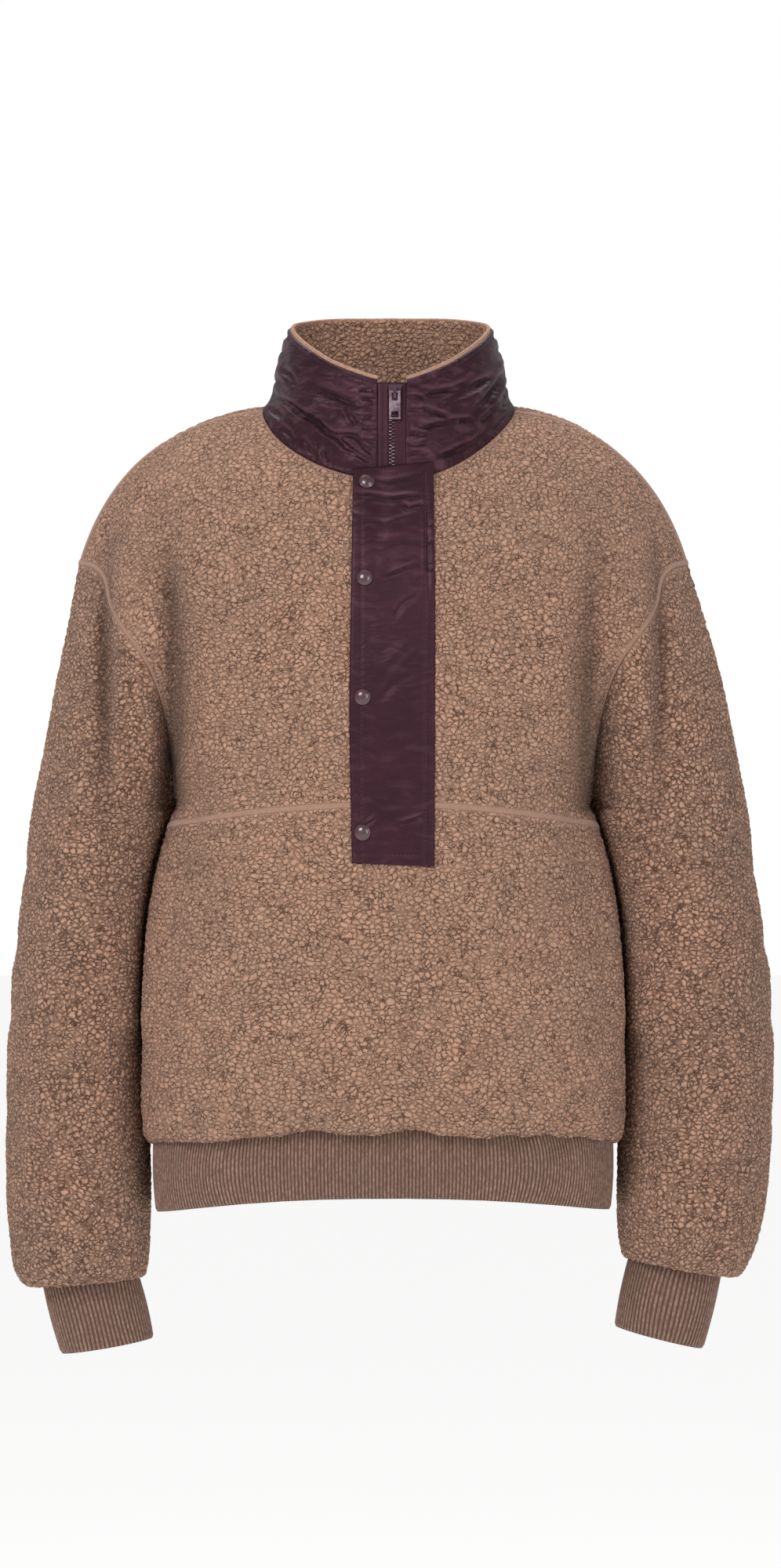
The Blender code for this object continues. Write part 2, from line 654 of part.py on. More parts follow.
hem_top, hem_bottom = hem_rings()
centre = np.array([0.0, 0.0, -0.58])
hem = ribbed_tube("hem_band", hem_top, hem_bottom, centre, centre, HEM_RIBS, HEM_INNER, RIB)
paint(hem, RIB_COLOUR, 0.9)

for name, side, size in (("cuff_left", -1, CUFF_LEFT), ("cuff_right", 1, CUFF_RIGHT)):
    turns = np.linspace(0, 20, 241)[:-1]
    seam = sleeve_point(turns, np.full(240, 11.0), side)
    loop = even_ring(seam, CUFF_RIBS * 2)
    top_x, low_x, low_z, tilt, half_x, half_y = size
    middle = loop.mean(axis=0)
    bottom = loop.copy()
    angle = np.arctan2((loop[:, 1] - middle[1]) / half_y, (loop[:, 0] - middle[0]) / half_x)
    bottom[:, 0] = (low_x + half_x * np.cos(angle)) * 0.001
    bottom[:, 1] = middle[1] + half_y * 0.001 * np.sin(angle)
    bottom[:, 2] = low_z * 0.001 + tilt * (bottom[:, 0] - low_x * 0.001)
    top = loop.copy()
    top[:, 2] -= 0.0007
    top[:, :2] = middle[:2] + (top[:, :2] - middle[:2]) * 0.985
    low = bottom.mean(axis=0)
    cuff = ribbed_tube(name, top, bottom, middle, low, CUFF_RIBS, CUFF_INNER, RIB)
    paint(cuff, RIB_COLOUR, 0.9)

# Collar: a band from the zip's right edge round the back to its left edge.
COLLAR_RISE = np.array([0.0, 0.09, 0.19, 0.45, 0.75, 1.0])
ANGLES = np.concatenate([spline(NECK_ANGLE_FRONT, ROWS_FRONT[15:])[:, 0],
                         spline(NECK_ANGLE_BACK, ROWS_BACK[16:-1])[::-1, 0]])


def collar_grid(rises, lift):
    rows = []
    for rise in rises:
        a0 = front_angle(min(rise, 1.0))
        angle = np.concatenate([[a0], ANGLES[1:]])
        right = collar_point(angle, np.full(len(angle), rise), 1)
        left = collar_point(angle, np.full(len(angle), rise), -1)
        rows.append(np.vstack([right, left[::-1]]))
    g = np.array(rows)
    g[..., 2] += lift
    return g


def grid_normals(g):
    du = np.gradient(g, axis=1)
    dv = np.gradient(g, axis=0)
    n = np.cross(du, dv)
    return n / np.linalg.norm(n, axis=-1, keepdims=True)


collar = collar_grid(COLLAR_RISE, 0.0006)
collar_n = grid_normals(collar)
collar_cells = [(r, c) for r in range(len(collar) - 1) for c in range(collar.shape[1] - 1)]
shell = wall_mesh("collar_shell", pulled(collar, ("start", "end")),
                  pulled(collar - collar_n * NYLON, ("start", "end")), collar_cells)
paint(shell, NYLON_COLOUR, 0.45)
lining_out = collar - collar_n * (NYLON + 0.0004)
lining_in = lining_out - collar_n * LINING
rise_dir = collar[-1] - collar[-2]
rise_dir /= np.linalg.norm(rise_dir, axis=-1, keepdims=True)
lining_out[-1] += rise_dir * 0.0014
lining_in[-1] += rise_dir * 0.0014
foot_dir = collar[1] - collar[0]
foot_dir /= np.linalg.norm(foot_dir, axis=-1, keepdims=True)
lining_out[0] += foot_dir * LINING_LIFT
lining_in[0] += foot_dir * LINING_LIFT
lining = wall_mesh("collar_lining", pulled(lining_out, ("start", "end")),
                   pulled(lining_in, ("start", "end")), collar_cells)
paint(lining, FLEECE_COLOUR, 0.95)

# Zip: tape in the slot, chain on the tape, both along the centre line.
ROWS_ZIP = np.array([7.06, 8, 9, 10, 11, 12, 13, 14, 15], float)


def strip(name, line, out, half, x, back, thick, colour, rough, metal=0.0):
    """Flat strip along a centre line: its front face stands back from the line."""
    front = line - out * back
    rear = line - out * (back + thick)
    wide = np.array([half, 0.0, 0.0])
    mid = np.array([x, 0.0, 0.0])
    outer = np.stack([front * [0, 1, 1] + mid - wide, front * [0, 1, 1] + mid + wide], axis=1)
    inner = np.stack([rear * [0, 1, 1] + mid - wide, rear * [0, 1, 1] + mid + wide], axis=1)
    obj = wall_mesh(name, outer, inner, [(r, 0) for r in range(len(line) - 1)])
    paint(obj, colour, rough, metal)
    return obj


def line_out(line):
    """Unit vectors pointing out of a centre line in the YZ plane."""
    d = np.gradient(line, axis=0)
    out = np.stack([np.zeros(len(d)), -d[:, 2], d[:, 1]], axis=1)
    return out / np.linalg.norm(out, axis=1, keepdims=True)


chest = front_point(np.zeros(len(ROWS_ZIP)), ROWS_ZIP, 1)
stand = np.array([0.10, 0.22, 0.45, 0.75, 0.985])
neck_part = collar_point(np.full(len(stand), 6.6), stand, 1)
line = np.vstack([chest, neck_part])
out = line_out(line)
back_by = np.concatenate([np.full(len(chest), 0.0016), np.full(len(stand), 0.0006)])[:, None]
back_by[len(chest) - 1] = 0.0012
strip("zip_tape", line, out, ZIP_HALF - 0.0006, ZIP_X - 0.0002, back_by, 0.0010, (0.05, 0.03, 0.036), 0.8)
chain_line = line[:-1].copy()
chain_line[-1] = line[-1] * 0.25 + line[-2] * 0.75
chain_out = out[:-1]
strip("zip_chain", chain_line, chain_out, 0.0022, ZIP_X - 0.0002, back_by[:-1] - 0.0016, 0.0013,
      (0.10, 0.09, 0.10), 0.35, 1.0)

# Slider and pull tab, set on the collar's front line.
foot = collar_point(np.array([6.6]), np.array([0.852]), 1)[0]
head = collar_point(np.array([6.6]), np.array([0.99]), 1)[0]
up = Vector((0.0, head[1] - foot[1], head[2] - foot[2])).normalized()
right = Vector((1.0, 0.0, 0.0))
away = right.cross(up)
seat = Vector((ZIP_X + 0.0020, foot[1], foot[2])) + away * 0.0013


def local_frame(origin):
    m = Matrix((right, -away, up)).transposed().to_4x4()
    m.translation = origin
    return m


def block(name, size, centre):
    """Box with its middle at centre, in the slider's own frame: X, in, up."""
    bm = bmesh.new()
    bmesh.ops.create_cube(bm, size=1.0)
    bmesh.ops.scale(bm, vec=size, verts=bm.verts)
    bmesh.ops.translate(bm, vec=centre, verts=bm.verts)
    mesh = bpy.data.meshes.new(name)
    bm.to_mesh(mesh)
    bm.free()
    obj = bpy.data.objects.new(name, mesh)
    target.objects.link(obj)
    return obj


def combine(base, others, operation):
    """Exact Boolean of base with others, applied; the others are removed."""
    for other in others:
        mod = base.modifiers.new("bool", "BOOLEAN")
        mod.operation = operation
        mod.solver = "EXACT"
        mod.object = other
        bpy.context.view_layer.update()
        graph = bpy.context.evaluated_depsgraph_get()
        mesh = bpy.data.meshes.new_from_object(base.evaluated_get(graph))
        base.modifiers.clear()
        base.data = mesh
        bpy.data.objects.remove(other)
    return base


SLIDER_FACE = 0.0020
slider = block("zip_slider", (0.0104, SLIDER_FACE, 0.0122), (0, -SLIDER_FACE / 2 - 0.0003, 0.0009))
for v in slider.data.vertices:
    if v.co.z < 0:
        v.co.x *= 0.70
face_y = -SLIDER_FACE - 0.0003
arch_z = (0.0075 - 0.0085, 0.0075)
legs = []
for z in arch_z:
    legs.append(block("leg", (0.0022, 0.0047, 0.0011), (0, face_y - 0.0020, z - 0.0028)))
bridge = block("bridge", (0.0022, 0.0011, 0.0096), (0, face_y - 0.0038, arch_z[0] + 0.00425 - 0.0028))
combine(slider, legs + [bridge], "UNION")
slider.data.transform(local_frame(seat))
paint(slider, METAL_COLOUR, 0.35, 1.0)

axis_point = local_frame(seat) @ Vector((0.0, face_y - AXIS_UP, 0.0010))
pull = block("zip_pull", (PULL_WIDTH, PULL_THICK, PULL_LENGTH), (0, 0, 0.0007 - PULL_LENGTH / 2))
slot_top = block("slot_top", (0.0046, 0.004, 0.0060), (0, 0, -0.0007 - 0.0030))
slot_low = block("slot_low", (0.0056, 0.004, 0.0046), (0, 0, -PULL_LENGTH + 0.0007 + 0.0014 + 0.0023))
combine(pull, [slot_top, slot_low], "DIFFERENCE")
pull.location = axis_point
paint(pull, METAL_COLOUR, 0.3, 1.0)

# Placket flap over the zip, laid on the front and on the collar's foot.
FLAP_CLEAR = 0.0010
FLAP_THICK = 0.0013
support = []
for name in ("front_upper_left", "front_upper_right", "front_lower", "collar_shell", "zip_chain", "zip_tape"):
    mesh = bpy.data.objects[name].data
    support.append(([v.co.copy() for v in mesh.vertices], [list(p.vertices) for p in mesh.polygons]))
all_verts = []
all_faces = []
for verts, faces in support:
    base = len(all_verts)
    all_verts += verts
    all_faces += [[base + i for i in f] for f in faces]
tree = BVHTree.FromPolygons(all_verts, all_faces)


def rest_y(x, z):
    """Y of the first surface met from the front at x, z."""
    hit = tree.ray_cast(Vector((x, -0.4, z)), Vector((0.0, 1.0, 0.0)))
    return hit[0].y if hit[0] is not None else None


# share down the flap  left x  right x, in mm; the rows' heights follow
FLAP_X = [(0, -28.5, 32.5), (0.25, -29.5, 33.5), (0.6, -31.0, 33.5), (1.0, -29.2, 33.2)]
flap_z_left = np.linspace(-48.0, -347.0, 19)
flap_z_right = np.linspace(-42.5, -349.5, 19)
across = np.linspace(0, 1, 7)
outer_rows = []
for i in range(19):
    x0, x1 = spline(FLAP_X, i / 18.0)
    row = []
    for k in across:
        x = (x0 + (x1 - x0) * k) * 0.001
        z = (flap_z_left[i] + (flap_z_right[i] - flap_z_left[i]) * k) * 0.001
        near = [rest_y(x + dx, z + dz) for dx in (-0.002, 0.0, 0.002) for dz in (-0.004, 0.0, 0.004)]
        near = [y for y in near if y is not None]
        row.append((x, min(near), z))
    outer_rows.append(row)
rest = np.array(outer_rows)[::-1]
smooth = rest.copy()
smooth[1:-1, :, 1] = np.minimum(rest[1:-1, :, 1], 0.25 * rest[:-2, :, 1] + 0.5 * rest[1:-1, :, 1]
                                + 0.25 * rest[2:, :, 1])
flap_n = grid_normals(smooth)
flap_in = smooth + flap_n * FLAP_CLEAR
flap_out = flap_in + flap_n * FLAP_THICK
flap = wall_mesh("placket_flap", flap_out, flap_in, [(r, c) for r in range(18) for c in range(6)])
paint(flap, NYLON_COLOUR, 0.45)

# Snap caps on the flap.
flap_tree = BVHTree.FromPolygons([v.co for v in flap.data.vertices], [list(p.vertices) for p in flap.data.polygons])
# x  z in mm
SNAPS = [(-18.0, -58.0), (-19.5, -132.0), (-21.0, -222.0), (-21.0, -324.0)]
for i, (x, z) in enumerate(SNAPS):
    hit = flap_tree.ray_cast(Vector((x * 0.001, -0.4, z * 0.001)), Vector((0.0, 1.0, 0.0)))
    point, normal = hit[0], hit[1]
    if normal.y > 0:
        normal = -normal
    bm = bmesh.new()
    bmesh.ops.create_cone(bm, cap_ends=True, segments=20, radius1=SNAP_RADIUS, radius2=SNAP_RADIUS,
                          depth=SNAP_HEIGHT)
    for v in bm.verts:
        v.co.z += SNAP_HEIGHT / 2
    rim = [e for e in bm.edges if all(v.co.z > SNAP_HEIGHT * 0.9 for v in e.verts)]
    bmesh.ops.bevel(bm, geom=rim, offset=0.0012, segments=2, affect="EDGES", profile=0.5)
    turn = normal.to_track_quat("Z", "Y").to_matrix().to_4x4()
    turn.translation = point + normal * 0.0005
    bm.transform(turn)
    mesh = bpy.data.meshes.new("snap")
    bm.to_mesh(mesh)
    bm.free()
    snap = bpy.data.objects.new("snap_%d" % (i + 1), mesh)
    target.objects.link(snap)
    paint(snap, (0.16, 0.085, 0.095), 0.25, 0.4)
bpy.context.view_layer.update()
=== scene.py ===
import math

import bmesh
import bpy
import numpy as np
from mathutils import Matrix, Vector
from mathutils.bvhtree import BVHTree


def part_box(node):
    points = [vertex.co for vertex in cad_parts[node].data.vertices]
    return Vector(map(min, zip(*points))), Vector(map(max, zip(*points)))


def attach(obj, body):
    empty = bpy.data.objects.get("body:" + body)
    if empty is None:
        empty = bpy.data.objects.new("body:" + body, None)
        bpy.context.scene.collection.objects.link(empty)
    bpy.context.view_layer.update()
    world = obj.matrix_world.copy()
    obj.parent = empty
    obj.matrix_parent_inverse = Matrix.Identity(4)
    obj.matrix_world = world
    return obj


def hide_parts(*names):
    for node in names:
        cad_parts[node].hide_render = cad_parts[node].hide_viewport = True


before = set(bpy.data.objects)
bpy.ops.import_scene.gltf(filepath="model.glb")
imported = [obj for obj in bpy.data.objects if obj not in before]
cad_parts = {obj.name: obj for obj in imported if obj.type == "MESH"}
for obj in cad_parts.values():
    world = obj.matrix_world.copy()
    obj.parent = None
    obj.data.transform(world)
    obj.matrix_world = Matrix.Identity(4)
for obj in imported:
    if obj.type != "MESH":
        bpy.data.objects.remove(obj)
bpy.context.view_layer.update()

# Sizes in metres. +X is the viewer's right, the front faces -Y, +Z is up.
# The origin is the middle of the neck's base, level with the shoulder at the neck.
FLEECE = 0.0030
RIB = 0.0022
NYLON = 0.0010
LINING = 0.0025
LINING_LIFT = 0.0024
ZIP_X = 0.00125
ZIP_HALF = 0.0112
RIB_HEIGHT = 0.0009
HEM_RIBS = 344
HEM_SPREAD = 1.034
CUFF_RIBS = 66

# Cloth grids: step of the outer side in metres, and how many steps the inner side spans.
STEP = 0.0021
GROUP = 4

# Creases as polylines in mm, with a depth (a ridge where negative) and a half width.
# Seen from the front, as x and z.
FRONT_CREASES = [
    ([(-175, -84), (-168, -130), (-163, -186), (-164, -240), (-169, -300), (-175, -348)], 9.0, 6.5),
    ([(162, -84), (154, -130), (150, -186), (149, -250), (151, -305), (157, -352)], 3.6, 6.0),
    ([(-216, -40), (-217, -80), (-218, -150), (-218, -230), (-216, -330), (-220, -400)], 6.4, 5.5),
    ([(-207, -90), (-208, -160), (-208, -240), (-205, -330)], -2.6, 7),
    ([(203, -44), (205, -80), (206, -150), (206, -230), (201, -330)], 5.4, 5.5),
    ([(196, -90), (197, -160), (197, -240), (192, -320)], -2.2, 7),
    ([(-232, -60), (-226, -130), (-228, -200)], -2.0, 8),
    ([(222, -60), (217, -130), (218, -200)], -2.0, 8),
    ([(-168, -150), (-140, -160), (-105, -158)], 1.6, 8),
    ([(-172, -196), (-138, -204), (-98, -198)], 1.8, 9),
    ([(-170, -240), (-140, -250), (-110, -246)], 1.5, 8),
    ([(-166, -282), (-140, -290), (-116, -300)], 1.3, 7),
    ([(152, -170), (128, -182), (92, -178)], 1.6, 9),
    ([(154, -218), (124, -230), (88, -228)], 1.6, 9),
    ([(152, -262), (126, -276), (96, -280)], 1.3, 8),
    ([(-186, -335), (-150, -352), (-96, -352)], 2.0, 11),
    ([(-190, -385), (-150, -402), (-104, -398)], 1.8, 12),
    ([(-188, -440), (-140, -452), (-80, -446)], 1.6, 12),
    ([(-192, -492), (-150, -500), (-110, -486)], 1.8, 11),
    ([(168, -352), (132, -366), (84, -360)], 1.8, 11),
    ([(178, -412), (136, -424), (86, -414)], 1.6, 12),
    ([(188, -468), (140, -482), (96, -470)], 1.7, 12),
    ([(-40, -470), (20, -486), (70, -476)], 1.2, 13),
    ([(-30, -400), (10, -410), (56, -400)], 1.0, 14),
    ([(-147, -562), (-148, -545), (-154, -522)], 3.4, 6),
    ([(-112, -562), (-110, -548), (-104, -530)], 2.6, 6),
    ([(131, -565), (131, -550), (146, -528), (168, -516)], 3.2, 8),
    ([(96, -562), (98, -548), (92, -530)], 2.6, 6),
    ([(-50, -560), (-48, -545), (-54, -534)], 2.3, 6),
    ([(-78, -562), (-80, -552), (-76, -542)], 1.8, 5),
    ([(-22, -562), (-20, -552), (-26, -544)], 1.8, 5),
    ([(10, -562), (12, -550), (6, -540)], 2.0, 5),
    ([(66, -562), (68, -552), (74, -542)], 1.9, 5),
    ([(40, -560), (42, -545), (38, -534)], 2.2, 6),
    ([(-283, -330), (-252, -352), (-222, -350)], 2.2, 10),
    ([(-288, -392), (-256, -420), (-216, -418)], 2.6, 11),
    ([(-290, -452), (-250, -474), (-206, -462)], 2.4, 11),
    ([(-206, -500), (-240, -520), (-282, -510)], 2.0, 11),
    ([(-290, -560), (-254, -584), (-210, -576)], 2.4, 11),
    ([(-262, -668), (-258, -644), (-266, -618)], 2.6, 8),
    ([(-236, -668), (-234, -648), (-240, -630)], 2.2, 7),
    ([(-212, -666), (-212, -644), (-206, -620)], 2.4, 7),
    ([(-286, -648), (-276, -630), (-280, -606)], 2.0, 7),
    ([(276, -322), (246, -346), (216, -344)], 2.2, 10),
    ([(286, -388), (250, -412), (206, -408)], 2.6, 11),
    ([(288, -450), (246, -470), (196, -458)], 2.4, 11),
    ([(196, -512), (236, -526), (280, -514)], 2.0, 11),
    ([(288, -566), (248, -586), (200, -572)], 2.4, 11),
    ([(250, -660), (246, -636), (254, -610)], 2.6, 8),
    ([(222, -658), (222, -638), (228, -618)], 2.2, 7),
    ([(198, -654), (198, -634), (192, -612)], 2.4, 7),
    ([(272, -642), (264, -622), (268, -600)], 2.0, 7),
    ([(-204, -60), (-176, -74), (-140, -72)], 1.2, 9),
    ([(190, -62), (160, -76), (128, -72)], 1.2, 9),
]
# Seen from the back, as x and z.
BACK_CREASES = [
    ([(-160, -120), (-90, -140), (-20, -134)], 2.4, 14),
    ([(150, -112), (84, -132), (14, -138)], 2.4, 14),
    ([(-164, -200), (-110, -222), (-50, -214)], 2.4, 13),
    ([(158, -190), (100, -214), (48, -206)], 2.2, 13),
    ([(-168, -290), (-110, -316), (-40, -306)], 2.6, 14),
    ([(162, -284), (104, -310), (44, -316)], 2.4, 14),
    ([(-180, -372), (-116, -396), (-30, -388)], 3.0, 15),
    ([(176, -366), (112, -396), (40, -398)], 2.8, 15),
    ([(-186, -446), (-120, -468), (-44, -460)], 3.2, 15),
    ([(184, -440), (118, -466), (30, -470)], 3.0, 15),
    ([(-160, -566), (-150, -540), (-156, -508)], 3.0, 10),
    ([(-96, -566), (-92, -540), (-80, -512)], 2.6, 10),
    ([(-30, -566), (-30, -544), (-38, -518)], 2.4, 10),
    ([(36, -566), (38, -542), (48, -514)], 2.6, 10),
    ([(100, -566), (98, -540), (88, -512)], 2.6, 10),
    ([(158, -566), (150, -540), (156, -510)], 3.0, 10),
    ([(-284, -300), (-250, -318), (-214, -310)], 2.6, 11),
    ([(-290, -368), (-250, -392), (-206, -384)], 3.0, 12),
    ([(-292, -436), (-246, -458), (-200, -448)], 2.8, 12),
    ([(-290, -520), (-246, -540), (-202, -526)], 2.4, 12),
    ([(-280, -650), (-272, -628), (-278, -600)], 2.4, 8),
    ([(-240, -666), (-240, -642), (-234, -616)], 2.6, 8),
    ([(280, -296), (244, -314), (206, -306)], 2.6, 11),
    ([(288, -364), (244, -388), (198, -380)], 3.0, 12),
    ([(290, -432), (240, -454), (192, -444)], 2.8, 12),
    ([(288, -516), (240, -536), (192, -522)], 2.4, 12),
    ([(270, -640), (262, -618), (268, -592)], 2.4, 8),
    ([(226, -656), (226, -632), (220, -606)], 2.6, 8),
]
# Seen from the sleeve's outer side, as y and z.
OUTER_CREASES = [
    ([(-56, -340), (-10, -356), (50, -344)], 2.2, 10),
    ([(-60, -400), (0, -414), (62, -404)], 2.6, 11),
    ([(-60, -462), (-6, -470), (60, -456)], 2.4, 11),
    ([(-50, -530), (0, -544), (56, -532)], 1.8, 12),
    ([(-30, -660), (-26, -636), (-36, -604)], 2.2, 8),
    ([(14, -664), (16, -640), (10, -606)], 2.4, 8),
    ([(50, -656), (48, -632), (56, -606)], 2.0, 8),
]
# The nylon collar's creases: sharper, seen from the front as x and z.
COLLAR_CREASES = [
    ([(-95, 14), (-81, 6), (-67, -5), (-56, -12), (-47, -20), (-38, -25), (-28, -37), (-21, -42)], 2.6, 2.4),
    ([(-83, 34), (-74, 22), (-69, 13)], 1.6, 2.2),
    ([(-66, 22), (-49, 10), (-30, 2), (-12, -2)], 2.0, 4.0),
    ([(-34, 2), (-29, -9), (-24, -18)], 1.5, 1.8),
    ([(-28, -8), (-20, -9), (-12, -8)], 1.1, 1.4),
    ([(-44, -21), (-26, -23), (-19, -32), (-12, -39)], 1.8, 1.8),
    ([(-36, -28), (-24, -37), (-14, -44)], 1.3, 1.6),
    ([(-96, 5), (-87, -4), (-80, -10)], 1.8, 2.2),
    ([(-83, -12), (-75, -25), (-72, -35)], 1.7, 2.0),
    ([(-66, -24), (-60, -34), (-56, -40)], 1.3, 1.6),
    ([(-52, -30), (-50, -40), (-44, -45)], 1.2, 1.6),
    ([(-58, 6), (-50, -2), (-40, -6)], -1.6, 5.0),
    ([(-78, 12), (-66, 4), (-54, -4)], -1.5, 5.0),
    ([(-26, 12), (-18, 12), (-11, 13)], 1.7, 1.4),
    ([(-24, 6), (-16, 5), (-11, 5)], 1.6, 1.3),
    ([(-22, -16), (-15, -17), (-11, -16)], 1.6, 1.3),
    ([(-24, -26), (-16, -27), (-11, -27)], 1.6, 1.3),
    ([(14, 15), (31, 10), (48, 13), (65, 22)], 1.9, 2.4),
    ([(33, -4), (42, 4), (59, 13), (73, 22), (84, 30)], 2.3, 2.6),
    ([(60, -6), (72, 5), (80, 18), (85, 30)], 2.2, 2.4),
    ([(20, -1), (33, -5), (46, -10)], 1.7, 1.8),
    ([(13, -13), (28, -16), (45, -12), (59, -10), (68, -16)], 2.0, 2.0),
    ([(66, -16), (74, -4), (80, 4)], 1.6, 2.0),
    ([(32, -41), (45, -36), (63, -28), (73, -17)], 2.2, 2.2),
    ([(82, 0), (90, 5), (97, 8)], 1.5, 2.0),
    ([(76, -20), (84, -10), (92, -4)], 1.3, 1.8),
    ([(52, -2), (62, 8), (70, 14)], -1.6, 4.5),
    ([(40, -26), (52, -22), (64, -18)], -1.3, 5.0),
    ([(13, 6), (20, 7), (28, 5)], 1.8, 1.4),
    ([(13, -3), (18, -3), (26, -5)], 1.7, 1.3),
    ([(13, -21), (19, -21), (29, -23)], 1.7, 1.3),
    ([(13, -29), (19, -30), (28, -28)], 1.6, 1.3),
    ([(13, -37), (20, -36), (30, -38)], 1.6, 1.3),
]
# The same for the back of the collar, and for its sides as y and z.
COLLAR_BACK_CREASES = [
    ([(-90, 22), (-60, 34), (-30, 30), (0, 38)], 2.2, 2.6),
    ([(90, 20), (66, 30), (36, 44), (10, 46)], 2.0, 2.6),
    ([(-70, 54), (-44, 52), (-20, 60)], 1.6, 2.2),
    ([(70, 52), (50, 60), (24, 58)], 1.5, 2.2),
    ([(-50, 12), (-34, 22), (-8, 22)], 1.8, 2.2),
    ([(58, 8), (40, 20), (18, 22)], 1.8, 2.2),
    ([(-16, 14), (0, 20), (20, 18)], 1.2, 2.0),
    ([(-24, 44), (-4, 50), (22, 50)], -1.5, 5.0),
    ([(-76, 34), (-56, 42), (-40, 40)], -1.4, 5.0),
]
COLLAR_SIDE_CREASES = [
    ([(-46, -4), (-20, 14), (10, 24), (40, 26)], 2.2, 2.6),
    ([(-40, 40), (-16, 40), (14, 50), (44, 50)], 1.8, 2.4),
    ([(-52, 16), (-26, 26), (0, 30)], 1.6, 2.2),
    ([(-10, 2), (10, 12), (40, 10)], 1.5, 2.2),
    ([(-30, 52), (0, 58), (20, 60)], 1.2, 2.0),
]
# The flap's creases, as x and z.
FLAP_CREASES = [
    ([(-30, -68), (-16, -68.5), (2, -71), (26, -68)], 1.8, 1.7),
    ([(6, -74), (14, -78.5), (28, -75)], 1.5, 1.6),
    ([(-22, -56), (0, -58), (24, -53)], 0.8, 1.5),
    ([(-18, -89), (-4, -90), (24, -82)], 0.8, 1.3),
    ([(-14, -100), (4, -95), (22, -96)], -0.6, 3.5),
    ([(-8, -132), (8, -126), (25, -119)], 1.0, 1.3),
    ([(-12, -122), (2, -114), (16, -108)], -0.7, 4.0),
    ([(-2, -166), (8, -152), (24, -142)], 0.7, 3.0),
    ([(-16, -210), (4, -190), (24, -172)], -0.7, 5.0),
    ([(-14, -228), (2, -212), (22, -200)], 0.6, 4.0),
    ([(-12, -262), (4, -256), (22, -250)], -0.5, 6.0),
    ([(2, -318), (12, -316), (27, -311)], 1.1, 1.4),
    ([(-22, -320), (-15, -316), (-10, -311)], 0.9, 1.2),
    ([(27.5, -62), (28, -100), (28.5, -155)], 1.2, 1.3),
    ([(27, -90), (31, -92), (35, -90)], 0.7, 1.2),
    ([(27, -106), (31, -104), (35, -106)], 0.7, 1.2),
    ([(27, -124), (31, -126), (35, -124)], 0.7, 1.2),
    ([(-32, -84), (-28, -83), (-22, -85)], 0.8, 1.2),
    ([(-32, -76), (-28, -77), (-22, -76)], 0.8, 1.2),
]

# Torso rows from the hem seam up, in mm. S is the point at the centre line, d1 the reach
# of the row's curve out of S, d2 its reach back from E, and E the side seam or armhole.
# row  Sy      Sz      d1x  d1y  d1z   d2x  d2y  d2z    Ex     Ey   Ez
FRONT_ROWS = [
    (0, -116.5, -548.5, 118, 0, -1, 0, -74, 1.5, 186.5, 0, -560),
    (1, -127.0, -551.0, 124, 0, -1, 0, -80, 1.5, 194.0, 0, -564),
    (2, -135.0, -541.0, 127, 0, -1, 0, -84, 1.5, 199.5, 0, -553),
    (3, -141.5, -512.0, 128, 0, -1, 0, -87, 1.0, 200.5, 0, -521),
    (4, -147.0, -470.0, 126, 0, -1, 0, -90, 1.0, 197.0, 0, -477),
    (5, -150.0, -425.0, 122, 0, -1, 0, -92, 1.0, 190.0, 0, -431),
    (6, -151.0, -382.0, 118, 0, -1, 0, -93, 1.0, 182.0, 0, -389),
    (7, -150.0, -342.0, 113, 0, -2, 1, -94, 2.0, 171.0, 0, -354),
    (8, -149.0, -302.0, 107, 0, -3, 3, -96, 4.0, 162.0, 0, -322),
    (9, -148.5, -272.0, 105, 0, -4, 5, -98, 6.0, 158.0, 0, -305),
    (10, -148.5, -236.0, 105, -1, -6, 5, -84, 8.0, 159.5, -22, -287),
    (11, -147.0, -200.0, 105, -2, -8, 5, -68, 9.0, 162.0, -45, -258),
    (12, -142.0, -164.0, 104, -4, -10, 1, -56, 10.0, 167.0, -63, -230),
    (13, -134.0, -128.0, 100, -7, -12, -8, -46, 15.0, 175.5, -75, -205),
    (14, -120.0, -92.0, 95, -13, -16, -18, -34, 22.0, 187.0, -82, -185),
    (15, -98.0, -55.5, 85, -24, -20, -28, -26, 33.0, 200.0, -77, -168),
    (16, 0.0, 0.0, 62, -15, -9, -29, -20, 42.0, 209.5, -65, -150),
    (17, 0.0, 0.0, 53, -8, -1, -22, -15, 47.0, 214.0, -47, -132),
    (18, 0.0, 0.0, 58, -2, 2, -17, -10, 60.0, 222.0, -22, -122),
    (19, 0.0, 0.0, 68, -7, -6, -19.5, -8, 71.0, 234.5, 8, -118),
]
